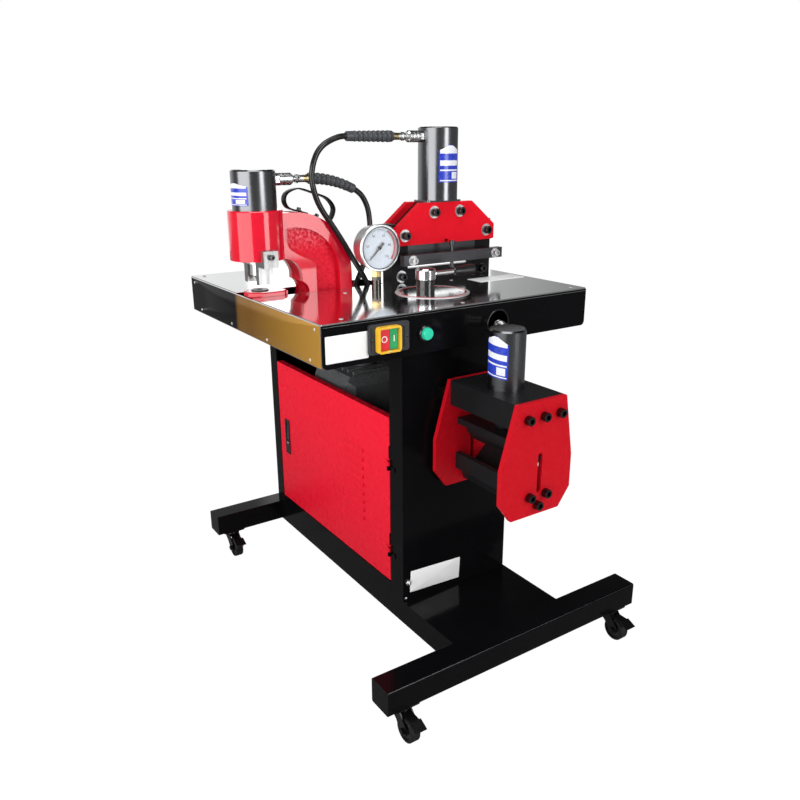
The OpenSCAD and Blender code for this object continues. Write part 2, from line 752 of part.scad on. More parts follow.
module lever_grip() place() color("#17171a")
    translate([valve_x + lever_reach - 58, valve_y, post_top + 10]) rotate([0, 90, 0])
        difference() {
            turned([[0, 0], [7, 0], [8.5, 3], [12.5, 50], [11.5, 55], [7, 58], [0, 58.5]]);
            translate([0, 0, -1]) cylinder(d = 10, h = 9);
        }

// ---- gauge ----

module gauge_case() place() color("#c4c8cc") {
    bezel_r = gauge_d / 2;
    back_r = bezel_r - 5;
    translate([gauge_x, gauge_y + gauge_depth, gauge_z]) rotate([90, 0, 0]) difference() {
        turned([[0, 0], [back_r - 4, 0], [back_r, 4], [back_r, gauge_depth - 11], [bezel_r, gauge_depth - 10],
                [bezel_r, gauge_depth - 2], [bezel_r - 2, gauge_depth], [0, gauge_depth]]);
        translate([0, 0, gauge_depth - 9]) cylinder(d = gauge_d - 12, h = 10);
        translate([0, 0, gauge_depth - 30]) cylinder(d = 4 + 2 * run_clear, h = 31);
    }
    translate([gauge_x, stem_y, gauge_z - bezel_r]) cylinder(d = 16, h = 12);
}

// The pointer stands at zero, down and to the left
module gauge_pointer() place() color("#16161a")
    translate([gauge_x, 0, gauge_z]) {
        rod_y(0, 0, 4, gauge_y + 1, gauge_y + 28);
        rod_y(0, 0, 9, gauge_y + 3, gauge_y + 5.5);
        rotate([0, -135, 0]) along_y(gauge_y + 3.5, gauge_y + 5)
            polygon([[-3, -14], [3, -14], [2.2, 0], [0.5, 35], [-0.5, 35], [-2.2, 0]]);
    }

module gauge_fitting() place() color("#b08d3e") {
    nut_z = gauge_z - gauge_d / 2 - 19;
    translate([gauge_x, stem_y, 0]) {
        translate([0, 0, nut_z]) cylinder(d = 24, h = 19, $fn = 6);
        translate([0, 0, top_z - 18]) cylinder(d = stem_d, h = nut_z - top_z + 18);
        translate([0, 0, top_z - 8]) cylinder(d = stem_d + 11, h = 8, $fn = 6);
    }
}

// ---- punching head ----

module punch_outline() difference() {
    union() {
        intersection() {
            translate([arc_x, arc_z]) circle(arc_r, $fn = 128);
            translate([arc_x, arc_z]) square(arc_r);
        }
        translate([punch_x, frame_foot]) square([arc_x - punch_x, arc_z + arc_r - frame_foot]);
        translate([arc_x - 1, frame_foot + 20]) square([arc_r + 1, arc_z - frame_foot - 20]);
        translate([arc_x - 1, frame_foot]) square([arc_r - 19, 21]);
        translate([spine_x - 20, frame_foot + 20]) circle(20);
    }
    throat_outline();
}

module throat_outline() {
    translate([throat_x, throat_z]) circle(throat_r);
    translate([throat_x - 200, jaw_z - 26]) square([200, nose_z - jaw_z + 26]);
    translate([throat_x - 1, relief_z]) square([relief_x - throat_x + 1, 26]);
    translate([throat_x - 1, relief_z - relief_r]) square([relief_x - throat_x + 1, relief_r + 1]);
    translate([relief_x, relief_z]) circle(relief_r);
}

// The pocket between the rim and the rib round the throat
module pocket_outline() {
    rim = arc_r - 30;
    intersection() {
        union() {
            translate([arc_x, arc_z]) circle(rim);
            translate([arc_x, frame_foot + 30]) square([rim, arc_z - frame_foot - 30]);
        }
        polygon([[punch_x + 44, nose_z + 46], [punch_x + 58, nose_z + 18], [punch_x + 81, nose_z + 3],
                 [punch_x + 110, nose_z - 9], [punch_x + 117, nose_z - 18], [punch_x + 117, frame_foot + 30],
                 [spine_x, frame_foot + 30], [spine_x, nose_top], [punch_x + 44, nose_top]]);
    }
}

module punch_frame() place() color("#d6202f") difference() {
    y0 = punch_y - punch_t / 2;
    y1 = punch_y + punch_t / 2;
    union() {
        along_y(y0, y1) punch_outline();
        translate([punch_x, punch_y, nose_z]) chamfered(nose_d, nose_top - nose_z, 2);
        translate([punch_x, punch_y, frame_foot]) cylinder(d = jaw_d, h = jaw_z - 2 - frame_foot);
        span([punch_x, punch_y - jaw_d / 2, frame_foot], [punch_x + jaw_len, punch_y + jaw_d / 2, jaw_z - 2]);
        translate([punch_x, punch_y, table_z + lip_gap])
            linear_extrude(jaw_z - 2 - table_z - lip_gap) polygon(jaw_lip);
        hull() {
            translate([punch_x, punch_y, jaw_z - 2 - eps]) linear_extrude(eps) polygon(jaw_lip);
            translate([punch_x, punch_y, jaw_z - eps]) linear_extrude(eps) polygon(0.94 * jaw_lip);
        }
    }
    along_y(y0 - 1, y0 + pocket_deep) pocket_outline();
    along_y(y1 - pocket_deep, y1 + 1) pocket_outline();
    translate([punch_x, punch_y, nose_z - 1]) cylinder(d = rod_d + 2 * run_clear, h = nose_top);
    translate([punch_x, punch_y, jaw_z + die_proud - die_h]) cylinder(d = die_d, h = die_h);
    translate([punch_x, punch_y, frame_foot - 1]) cylinder(d = 22, h = jaw_z - frame_foot);
    for (s = [-1, 1])
        translate([punch_x - leg_w / 2 - 1, punch_y + s * (nose_d / 2 + 18) - 20, nose_z - 1])
            cube([leg_w + 2, 40, 24]);
}

module punch_cylinder() place() color("#3a3c40")
    translate([punch_x, punch_y, nose_top]) difference() {
        chamfered(punch_cyl_d, punch_cyl_h, 3);
        translate([0, 0, -1]) cylinder(d = piston_d + 2 * run_clear, h = punch_cyl_h - 14);
        rotate([0, 90, 0]) translate([-punch_port_z + nose_top, 0, punch_cyl_d / 2 - nipple])
            cylinder(d = 14, h = nipple + 1);
    }

module punch_ram() place() color("#c6c9cc")
    translate([punch_x, punch_y, 0]) {
        translate([0, 0, nose_top + punch_stroke + 14]) cylinder(d = piston_d, h = 18);
        translate([0, 0, nose_z - 8]) cylinder(d = rod_d, h = nose_top - nose_z + punch_stroke + 24);
        tip = jaw_z + die_proud + punch_stroke - 4;
        translate([0, 0, tip]) cylinder(d = punch_d, h = 10);
        translate([0, 0, tip + 8]) cylinder(d1 = punch_d + 2, d2 = 24, h = 8);
        translate([0, 0, tip + 15]) cylinder(d = 34, h = nose_z - 7 - tip - 15);
    }

// Two legs bolted to flats on the nose straddle the punch
module punch_stripper() place() color("#d0d3d6")
    for (s = [-1, 1]) translate([punch_x, punch_y, 0]) {
        flat = nose_d / 2 - 2;
        foot = jaw_z + die_proud + leg_gap;
        difference() {
            union() {
                translate([-leg_w / 2, s > 0 ? flat : -flat - 12, nose_z - foot_t])
                    cube([leg_w, 12, 22 + foot_t]);
                translate([-leg_w / 2, s > 0 ? leg_in : -flat - 12, nose_z - foot_t])
                    cube([leg_w, flat + 12 - leg_in, foot_t]);
                translate([-leg_w / 2, s > 0 ? leg_in : -leg_in - leg_t, foot])
                    cube([leg_w, leg_t, nose_z - foot_t - foot + 1]);
            }
            rod_y(0, nose_z + 10, 8, s * (flat + 6) - 8, s * (flat + 6) + 8);
        }
    }

module punch_die() place() color("#4a4c50")
    translate([punch_x, punch_y, jaw_z + die_proud - die_h]) difference() {
        chamfered(die_d, die_h, 1);
        translate([0, 0, -1]) cylinder(d = punch_d + 0.6, h = die_h + 2);
        translate([0, 0, -1]) cylinder(d = punch_d + 4, h = die_h - 9);
    }

// Flat strap carried round a smooth curve; both ends lie on the frame's outer arc
strap_t = 3;
strap_lift = 0.3;
strap_r = arc_r + strap_t / 2 + strap_lift;
strap_z = arc_z + arc_r + 2;
function on_arc(x) = [x, arc_z - strap_z + sqrt(pow(strap_r, 2) - pow(x + punch_x - arc_x, 2))];
strap_path = [on_arc(115), on_arc(101), [88, -0.3], [71, 7], [65, 21], [70, 34], [86, 42], [102, 43],
              [131, 34], [163, 22], [179, 3], [177, -14], [168, -26], [157, -27.5], [147, -23], on_arc(136)];
function curve_at(p, i, t) =
    let (a = p[max(i - 1, 0)], b = p[i], c = p[i + 1], d = p[min(i + 2, len(p) - 1)])
    0.5 * (2 * b + (c - a) * t + (2 * a - 5 * b + 4 * c - d) * t * t + (3 * b - a - 3 * c + d) * t * t * t);
function curve(p, steps) = concat(
    [for (i = [0:len(p) - 2], k = [0:steps - 1]) curve_at(p, i, k / steps)], [p[len(p) - 1]]);
function offset_line(p, d) =
    [for (i = [0:len(p) - 1]) let (t = heading(p, i)) p[i] + d * [-t[1], t[0]]];

module carry_strap() place() color("#1c1c1e") {
    line = curve(strap_path, 4);
    inner = offset_line(line, -strap_t / 2);
    outer = offset_line(line, strap_t / 2);
    n = len(line);
    along_y(punch_y - 10, punch_y + 10)
        translate([punch_x, strap_z])
            polygon(concat(inner, [for (i = [n - 1:-1:0]) outer[i]]));
}

// ---- cutting head ----

module cutter_outline() {
    h = cutter_w / 2;
    polygon([[-h, frame_foot], [h, frame_foot], [h, plate_mid + 11], [h - 16, plate_mid + 11],
             [h - 16, plate_mid - 6], [shoulder - slope_in, cutter_top], [slope_in - shoulder, cutter_top],
             [16 - h, plate_mid - 6], [16 - h, plate_mid + 11], [-h, plate_mid + 11]]);
}

module cutter_frame() place() color("#1d1e20") translate([cutter_x, 0, 0]) difference() {
    along_y(cut_y0, cut_y1) cutter_outline();
    span([-window_w / 2, cut_y0 - 1, slot_z], [window_w / 2, cut_y1 + 1, cutter_top - 60]);
    span([-window_w / 2, cutter_y - blade_t, slot_z - 20], [window_w / 2, cutter_y, slot_z + 1]);
    span([-window_w / 2, cutter_y, slot_z - 10], [window_w / 2, cut_y1 + 1, slot_z + 1]);
    translate([cutter_shift, cutter_y, cutter_top - 61])
        cylinder(d = cutter_rod_d - 4 + 2 * run_clear, h = 70);
    for (b = cutter_bolts) rod_y(b[0], b[1], bolt_d, cut_y0 - 1, cut_y1 + 1);
    for (b = low_bolts) rod_y(b[0], b[1], bolt_d, cut_y0 - 1, cut_y0 + 20);
    for (s = [-1, 1]) rod_y(s * bar_bolt_x, bar_z + bar_h / 2, bar_bolt_d, cut_y0 - 1, cut_y0 + 14);
}

module cutter_plates() place() color("#dc2232")
    for (y = [cut_y0 - side_plate_t, cut_y1])
        difference() {
            along_y(y, y + side_plate_t) translate([cutter_x, 0])
                polygon([[-plate_half, plate_z + 2], [5.5 - plate_half, plate_z], [plate_half - 5.5, plate_z],
                         [plate_half, plate_z + 2], [plate_half, plate_mid], [shoulder, cutter_top],
                         [-shoulder, cutter_top], [-plate_half, plate_mid]]);
            for (b = cutter_bolts)
                rod_y(cutter_x + b[0], b[1], bolt_d + 0.6, y - 1, y + side_plate_t + 1);
            span([cutter_x - 5, y - 1, plate_z - 1], [cutter_x + 5, y + side_plate_t + 1, plate_z + 8]);
        }

module cutter_cylinder() place() color("#1f2023")
    translate([cutter_x + cutter_shift, cutter_y, cutter_top]) difference() {
        union() {
            linear_extrude(cutter_flange) rounded_rect(cutter_cyl_d + 5, cutter_t + 2 * side_plate_t - 8, 6);
            translate([0, 0, cutter_flange]) chamfered(cutter_cyl_d, cutter_cyl_h, 2.5);
        }
        translate([0, 0, -1]) cylinder(d = cutter_rod_d - 4 + 2 * run_clear, h = 30);
        translate([0, 0, 24]) cylinder(d = piston_d + 2 * run_clear, h = cutter_cyl_h - 36);
        rotate([0, -90, 0]) translate([cutter_port_z - cutter_top, 0, cutter_cyl_d / 2 - nipple])
            cylinder(d = 14, h = nipple + 1);
    }

// Carriage with its blade, on the piston
module upper_blade() place() color("#3b3d40") translate([cutter_x, cutter_y, 0]) {
    half = window_w / 2 - slide_clear;
    low = slot_z + slot_h;
    depth = cutter_t / 2 - slide_clear - 0.5;
    span([-half, -depth, low + 6], [half, depth, cutter_top - 60 - 4]);
    span([-half, blade_gap, low], [half, blade_t, low + 7]);
    translate([cutter_shift, 0, cutter_top - 66])
        cylinder(d = cutter_rod_d - 4, h = 66 + 24 + blade_stroke + 6);
    translate([cutter_shift, 0, cutter_top + 24 + blade_stroke + 4]) cylinder(d = piston_d, h = 20);
}

module lower_blade() place() color("#8b8f93") translate([cutter_x, 0, 0])
    span([-window_w / 2, cutter_y - blade_t, slot_z - 20], [window_w / 2, cutter_y, slot_z]);

module clamp_bar() place() color("#4b4d50") translate([cutter_x, 0, 0]) difference() {
    union() {
        span([-bar_len / 2, bar_y - bar_t / 2, bar_z], [bar_len / 2, bar_y + bar_t / 2, bar_z + bar_h]);
        for (s = [-1, 1]) rod_y(s * bar_bolt_x, bar_z + bar_h / 2, 18, bar_y, cut_y0);
    }
    for (s = [-1, 1]) rod_y(s * bar_bolt_x, bar_z + bar_h / 2, bar_bolt_d + 0.6, bar_y - 20, cut_y0 + 1);
    translate([cutter_shift, bar_y, bar_z - 1]) cylinder(d = clamp_d + 2 * run_clear, h = bar_h + 2);
}

module clamp_screw() place() color("#c2c5c8") translate([cutter_x + cutter_shift, bar_y, 0]) {
    translate([0, 0, bar_z - 10]) cylinder(d = clamp_d, h = bar_h + 26);
    translate([0, 0, bar_z - 13]) cylinder(d = clamp_d + 4, h = 4);
    translate([0, 0, bar_z + bar_h + 15]) cylinder(d = clamp_d + 5, h = 9);
}

// ---- bending head ----

module end_plate_outline() {
    h = bend_w / 2;
    polygon([[-head_w / 2, bend_top], [head_w / 2, bend_top],
             [bend_side + h, bend_top - 122], [bend_side + h, bend_top - 190],
             [bend_side + h - 28, bend_low], [bend_side + 28 - h, bend_low],
             [bend_side - h, bend_top - 190], [bend_side - h, bend_top - 122]]);
}

module bender_plates() place() color("#dc2232")
    for (y = [bend_y0, inner_y1])
        difference() {
            along_y(y, y + end_plate_t) translate([bend_x, 0]) end_plate_outline();
            for (b = bend_bolts)
                rod_y(bend_x + b[0], b[1], bolt_d + 0.6, bend_y0 - 1, inner_y0 + 1);
            along_y(y - 1, y + end_plate_t + 1) translate([bend_x, guide_z - bend_stroke / 2 - 3])
                rounded_rect(guide_d + 1, bend_stroke + 30, guide_d / 2);
        }

module bender_head() place() color("#232427") difference() {
    span([bend_x - head_w / 2, inner_y0, bend_top - head_h], [bend_x + head_w / 2, inner_y1, bend_top]);
    translate([bend_x, bend_mid, bend_top - head_h - 1])
        cylinder(d = bend_rod_d + 2 * run_clear, h = head_h + 2);
    for (b = bend_bolts) rod_y(bend_x + b[0], b[1], bolt_d, inner_y0 - 1, inner_y0 + 25);
}

module bender_cylinder() place() color("#2c2e31")
    translate([bend_x, bend_mid, bend_top]) difference() {
        chamfered(bend_cyl_d, bend_cyl_h, 3);
        translate([0, 0, -1]) cylinder(d = bend_rod_d + 2 * run_clear, h = 14);
        translate([0, 0, 12]) cylinder(d = bend_piston_d + 2 * run_clear, h = bend_cyl_h - 26);
        rotate([0, 90, bend_angle]) translate([-bend_port_z + bend_top, 0, bend_cyl_d / 2 - nipple])
            cylinder(d = 14, h = nipple + 1);
    }

module bender_ram() place() color("#2a2b2e") translate([bend_x, bend_mid, 0]) {
    half = (inner_y1 - inner_y0) / 2 - slide_clear - 3;
    span([-ram_w / 2, -half, ram_z], [ram_w / 2, half, ram_z + ram_t]);
    along_y(-half, half)
        polygon([[-nose_w / 2, ram_z + 1], [-nose_w / 2, ram_z - nose_h + 18], [-5, ram_z - nose_h],
                 [5, ram_z - nose_h], [nose_w / 2, ram_z - nose_h + 18], [nose_w / 2, ram_z + 1]]);
    rod_y(0, guide_z, guide_d, -half - end_plate_t, half + end_plate_t);
    translate([0, 0, ram_z + 1]) cylinder(d = bend_rod_d, h = bend_top + bend_stroke + 14 - ram_z);
    translate([0, 0, bend_top + bend_stroke + 14]) cylinder(d = bend_piston_d, h = 20);
}

module bender_die() place() color("#232427") difference() {
    h = die_w / 2;
    low = die_top - 63;
    ledge = die_top - 34;
    along_y(inner_y0, inner_y1) translate([bend_x, 0])
        polygon([[-h, ledge], [-34, ledge], [-22, low], [14, low], [26, ledge], [h, ledge], [h, die_top],
                 [groove_w / 2, die_top], [4, die_top - groove_w / 2 + 4],
                 [-4, die_top - groove_w / 2 + 4], [-groove_w / 2, die_top], [-h, die_top]]);
    for (b = bend_bolts) rod_y(bend_x + b[0], b[1], bolt_d, inner_y0 - 1, inner_y0 + 25);
}

// Spacer between the back plate and the cabinet
module bender_bracket() place() color("#1b1b1d") {
    for (z = [bend_top - 26, bend_low + 30])
        span([bend_x - 76, bend_y1, z - 12], [bend_x + 76, -cabinet_front, z + 12]);
    span([bend_x - 30, bend_y1, bend_low + 40], [bend_x + 30, -cabinet_front, bend_top - 36]);
}

module socket_bolts() place() color("#26272a") {
    washer = 2;
    for (b = cutter_bolts) {
        translate([cutter_x + b[0], cut_y0 - side_plate_t, b[1]]) {
            washer_y(27, bolt_d, washer);
            translate([0, -washer, 0]) socket_bolt(bolt_d, side_plate_t + cutter_t / 2);
        }
        translate([cutter_x + b[0], cut_y1 + side_plate_t, b[1]]) rotate([0, 0, 180]) {
            washer_y(27, bolt_d, washer);
            translate([0, -washer, 0]) socket_bolt(bolt_d, side_plate_t + cutter_t / 2 - 1);
        }
    }
    for (b = low_bolts)
        translate([cutter_x + b[0], cut_y0, b[1]]) {
            washer_y(27, bolt_d, washer);
            translate([0, -washer, 0]) socket_bolt(bolt_d, 20);
        }
    for (s = [-1, 1])
        translate([cutter_x + s * bar_bolt_x, bar_y - bar_t / 2, bar_z + bar_h / 2]) {
            washer_y(22, bar_bolt_d, washer);
            translate([0, -washer, 0]) socket_bolt(bar_bolt_d, bar_t / 2 + cut_y0 - bar_y + 12);
        }
    for (b = bend_bolts)
        translate([bend_x + b[0], bend_y0, b[1]]) socket_bolt(bolt_d, end_plate_t + 20);
    for (s = [-1, 1])
        translate([punch_x, punch_y + s * (nose_d / 2 + 10), nose_z + 10]) rotate([0, 0, s < 0 ? 0 : 180])
            socket_bolt(8, 12);
}

// ---- couplings and hoses ----

// Quick coupling of a given length along +X from a port's mouth at x = 0
module coupler(len) rotate([0, 90, 0]) {
    translate([0, 0, -nipple]) cylinder(d = 14, h = nipple);
    cylinder(d = 25, h = 8, $fn = 6);
    turned([[0, 7], [11, 7], [12.5, 9], [12.5, 15], [11.5, 16], [11.5, 18], [12.5, 19], [12.5, 25],
            [11.5, 26], [11.5, 28], [12.5, 29], [12.5, 36], [10, 40], [6.5, 41], [6.5, 48], [0, 48]]);
    turned([[0, 48], [9, 48], [9, 53], [7.5, 54], [7.5, len - 6], [8.5, len - 5], [8.5, len], [0, len]]);
}

module at_punch_port() translate([punch_x + punch_cyl_d / 2, punch_y, punch_port_z]) children();
module at_cutter_port()
    translate([cutter_x + cutter_shift - cutter_cyl_d / 2, cutter_y, cutter_port_z]) rotate([0, 0, 180])
        children();
module at_bend_port()
    translate([bend_x, bend_mid, bend_port_z]) rotate([0, 0, bend_angle])
        translate([bend_cyl_d / 2, 0, 0]) children();

module hose_couplers() place() color("#cfd2d5") {
    at_punch_port() coupler(coupler_len);
    at_cutter_port() coupler(coupler_len);
    at_bend_port() coupler(short_coupler);
}

// Ribbed sleeve, straight or bent downwards on an arc
module sleeve_rib(k, n) {
    cylinder(d = sleeve_d - 4 * k / n, h = sleeve_len / n * 0.7);
}

module straight_sleeve() rotate([0, 90, 0]) {
    n = 8;
    cylinder(d1 = sleeve_d - 4, d2 = hose_d + 3, h = sleeve_len);
    for (k = [0:n - 1]) translate([0, 0, k * sleeve_len / n]) sleeve_rib(k, n);
}

module bent_sleeve() {
    n = 8;
    translate([0, 0, -sleeve_bend_r]) rotate([90, 0, 0]) {
        rotate([0, 0, 90 - sleeve_turn]) rotate_extrude(angle = sleeve_turn)
            translate([sleeve_bend_r, 0]) circle(d = hose_d + 4, $fn = 24);
        for (k = [0:n - 1])
            rotate([0, 0, -sleeve_turn * (k + 0.35) / n]) translate([0, sleeve_bend_r, 0]) rotate([0, 90, 0])
                translate([0, 0, -sleeve_len / n * 0.3]) sleeve_rib(k, n);
    }
}

module hose_sleeves() place() color("#55585c") {
    at_punch_port() translate([coupler_len, 0, 0]) bent_sleeve();
    at_cutter_port() translate([coupler_len, 0, 0]) straight_sleeve();
}

module punch_hose() place() color("#222326") hose_tube(punch_route, hose_d, hose_sides);
module cutter_hose() place() color("#222326") hose_tube(cutter_route, hose_d, hose_sides);

// Short hose from the bending head's coupling through the front skirt
module bender_hose() place() color("#222326") hose_tube(bender_route, hose_d, hose_sides);

// ---- pump ----

module pump_tank() place() color("#2a2c30") {
    z0 = deck_z + sheet_t;
    tank_w = cabinet_w - 59;
    translate([0, 110, z0]) linear_extrude(tank_h) rounded_rect(tank_w, 320, 14);
    translate([0, 110, z0 + tank_h]) linear_extrude(6) rounded_rect(tank_w + 12, 332, 16);
}

// Housing with bevelled upper edges and cut corners
module pump_cover() place() color("#5a5d62") {
    z0 = deck_z + sheet_t + tank_h + 6;
    half = cabinet_w / 2 - 35;
    eave = tray_z - 153;
    top = eave + 20;
    bevel = 24;
    corner = 26;
    y0 = 70;
    y1 = 250;
    intersection() {
        along_y(y0, y1)
            polygon([[-half, z0], [half, z0], [half, eave], [half - bevel, top], [bevel - half, top],
                     [-half, eave]]);
        translate([-half, 0, 0]) rotate([90, 0, 90]) linear_extrude(2 * half)
            polygon([[y0, z0], [y1, z0], [y1, eave], [y1 - bevel, top], [y0 + bevel, top], [y0, eave]]);
        translate([0, 0, z0]) linear_extrude(top - z0)
            polygon([[-half, y0 + corner], [corner - half, y0], [half - corner, y0], [half, y0 + corner],
                     [half, y1 - corner], [half - corner, y1], [corner - half, y1], [-half, y1 - corner]]);
    }
    for (k = [0:4]) span([40 - half, y0 + 32 + 26 * k, top - 1], [half - 40, y0 + 38 + 26 * k, top + 6]);
    translate([0, 170, top + 5]) cylinder(d = 60, h = 20);
}

base_frame();
castor_plates();
fork_fl();
fork_fr();
fork_bl();
fork_br();
wheel_fl();
wheel_fr();
wheel_bl();
wheel_br();
pedal_fl();
pedal_fr();
pedal_bl();
pedal_br();
cabinet();
door();
hinge_pins();
catch_body();
catch_lever();
table_frame();
table_top();
switch_box();
switch_guard();
stop_button();
start_button();
pilot_lamp();
valve_body();
valve_cover();
valve_lever();
lever_grip();
gauge_case();
gauge_pointer();
gauge_fitting();
punch_frame();
punch_cylinder();
punch_ram();
punch_stripper();
punch_die();
carry_strap();
cutter_frame();
cutter_plates();
cutter_cylinder();
upper_blade();
lower_blade();
clamp_bar();
clamp_screw();
bender_plates();
bender_head();
bender_cylinder();
bender_ram();
bender_die();
bender_bracket();
socket_bolts();
hose_couplers();
hose_sleeves();
punch_hose();
cutter_hose();
bender_hose();
pump_tank();
pump_cover();
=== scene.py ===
import json
import math

import bmesh
import bpy
import numpy as np
from mathutils import Matrix, Vector


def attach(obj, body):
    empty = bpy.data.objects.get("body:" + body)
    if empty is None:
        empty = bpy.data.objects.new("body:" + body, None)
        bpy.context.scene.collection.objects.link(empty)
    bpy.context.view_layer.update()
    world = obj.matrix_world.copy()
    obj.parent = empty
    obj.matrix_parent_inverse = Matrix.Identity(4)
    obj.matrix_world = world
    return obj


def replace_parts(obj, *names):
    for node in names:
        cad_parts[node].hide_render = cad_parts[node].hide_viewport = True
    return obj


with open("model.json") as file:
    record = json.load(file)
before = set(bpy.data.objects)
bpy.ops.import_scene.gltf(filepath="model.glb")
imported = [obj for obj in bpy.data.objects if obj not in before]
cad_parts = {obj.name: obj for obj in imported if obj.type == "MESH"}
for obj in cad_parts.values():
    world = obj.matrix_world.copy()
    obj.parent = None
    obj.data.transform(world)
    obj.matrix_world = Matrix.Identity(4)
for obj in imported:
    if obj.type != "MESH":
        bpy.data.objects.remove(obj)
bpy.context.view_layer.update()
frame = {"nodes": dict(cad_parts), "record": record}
nodes = frame["nodes"]
print("frame loaded:", len(nodes), "nodes")

# Sizes below are millimetres in the machine's own layout: x to the right, y to the back, z up from the floor.
frameShift = (11.5, 20.0, 0.0)


# machine layout in millimetres to the frame in metres: add the shift, divide by a thousand
def place(points):
    return (np.asarray(points, float) + np.array(frameShift)) / 1000.0


# one coordinate of the layout in the frame's metres: axis 0, 1 or 2
def metres(value, axis):
    return (value + frameShift[axis]) / 1000.0


# screen colour, 0 to 255, to the linear value a shader wants
def linear(red, green, blue):
    parts = (red / 255, green / 255, blue / 255)
    return tuple(((c + 0.055) / 1.055) ** 2.4 if c > 0.04 else c / 12.92 for c in parts)


def scaled(colour, factor):
    return tuple(min(1.0, c * factor) for c in colour[:3])


# one node tree, with short ways to add nodes and link them
class Graph:
    def __init__(self, tree):
        self.tree = tree

    # a link from another node's output, or a value of the input's own kind
    def feed(self, value, target):
        if isinstance(value, bpy.types.NodeSocket):
            self.tree.links.new(value, target)
        elif target.type == "RGBA":
            target.default_value = (*value, 1.0)
        else:
            target.default_value = value

    # a new node, with its settings and what goes into its inputs
    def add(self, kind, inputs=None, **settings):
        node = self.tree.nodes.new(kind)
        for key, value in settings.items():
            setattr(node, key, value)
        for key, value in (inputs or {}).items():
            self.feed(value, node.inputs[key])
        return node

    # b stays at the node's own half where the operation takes one value
    def math(self, operation, a, b=0.5, clamp=False):
        node = self.add("ShaderNodeMath", {0: a, 1: b}, operation=operation, use_clamp=clamp)
        return node.outputs[0]

    def plus(self, a, b, clamp=False):
        return self.math("ADD", a, b, clamp)

    def minus(self, a, b):
        return self.math("SUBTRACT", a, b)

    def times(self, a, b):
        return self.math("MULTIPLY", a, b)

    # square root of the sum of two squares
    def reach(self, a, b):
        return self.math("SQRT", self.plus(self.times(a, a), self.times(b, b)))

    # a value between low and high becomes one between first and last, and stops there
    def ramp(self, value, low, high, first=0.0, last=1.0):
        inputs = {"Value": value, "From Min": low, "From Max": high, "To Min": first, "To Max": last}
        return self.add("ShaderNodeMapRange", inputs).outputs["Result"]

    # a mask from 0 to 1 becomes one from first to last
    def spread(self, mask, first, last):
        return self.ramp(mask, 0.0, 1.0, first, last)

    def blend(self, factor, first, second, mode="MIX"):
        node = self.add("ShaderNodeMix", {"Factor": factor}, data_type="RGBA", blend_type=mode)
        colours = [socket for socket in node.inputs if socket.type == "RGBA"]
        self.feed(first, colours[0])
        self.feed(second, colours[1])
        return [socket for socket in node.outputs if socket.type == "RGBA"][0]

    # one colour, from a darker to a lighter shade of itself
    def shade(self, factor, colour, dark, light):
        return self.blend(factor, scaled(colour, dark), scaled(colour, light))

    # 1 where low < value < high, else 0
    def between(self, value, low, high):
        return self.times(self.math("GREATER_THAN", value, low), self.math("LESS_THAN", value, high))

    def noise(self, vector, scale, detail=3.0, roughness=0.5):
        inputs = {"Vector": vector, "Scale": scale, "Detail": detail, "Roughness": roughness}
        return self.add("ShaderNodeTexNoise", inputs).outputs[0]

    def split(self, vector):
        return tuple(self.add("ShaderNodeSeparateXYZ", {0: vector}).outputs)


# a node group: an input's kind follows from its value, and every output is a number
def startGroup(name, inputs, outputs):
    tree = bpy.data.node_groups.new(name, "ShaderNodeTree")
    for label, value in inputs.items():
        kind = "NodeSocketFloat" if isinstance(value, float) else "NodeSocketVector"
        tree.interface.new_socket(name=label, in_out="INPUT", socket_type=kind).default_value = value
    for label in outputs:
        tree.interface.new_socket(name=label, in_out="OUTPUT", socket_type="NodeSocketFloat")
    graph = Graph(tree)
    return tree, graph, graph.add("NodeGroupInput").outputs, graph.add("NodeGroupOutput").inputs


# two sizes of noise: a broad one clouds the colour, a fine one lifts the skin
def buildSkinGrain():
    inputs = {"Vector": (0, 0, 0), "Fine": 500.0, "Broad": 9.0}
    tree, graph, start, end = startGroup("skinGrain", inputs, ("Height", "Cloud"))
    graph.feed(graph.noise(start["Vector"], start["Fine"], 2.0), end["Height"])
    graph.feed(graph.ramp(graph.noise(start["Vector"], start["Broad"]), 0.3, 0.7), end["Cloud"])
    return tree


# noise squeezed across one direction, so that it reads as fine parallel scratches
def buildBrushMarks():
    inputs = {"Vector": (0, 0, 0), "Squeeze": (6.0, 1400.0, 1400.0)}
    tree, graph, start, end = startGroup("brushMarks", inputs, ("Height", "Streak"))
    inputs = {0: start["Vector"], 1: start["Squeeze"]}
    stretch = graph.add("ShaderNodeVectorMath", inputs, operation="MULTIPLY")
    marks = graph.noise(stretch.outputs[0], 1.0)
    graph.feed(marks, end["Height"])
    graph.feed(graph.ramp(marks, 0.35, 0.65), end["Streak"])
    return tree


# patches of dust: broad noise, kept only where the surface faces up
def buildSettledDust():
    inputs = {"Vector": (0, 0, 0), "Amount": 0.3}
    tree, graph, start, end = startGroup("settledDust", inputs, ("Mask",))
    facing = graph.split(graph.add("ShaderNodeNewGeometry").outputs["Normal"])[2]
    patches = graph.ramp(graph.noise(start["Vector"], 26.0, 5.0), 0.4, 0.75)
    upward = graph.times(graph.ramp(facing, 0.4, 1.0), patches)
    graph.feed(graph.times(upward, start["Amount"]), end["Mask"])
    return tree


skinGrain = buildSkinGrain()
brushMarks = buildBrushMarks()
settledDust = buildSettledDust()


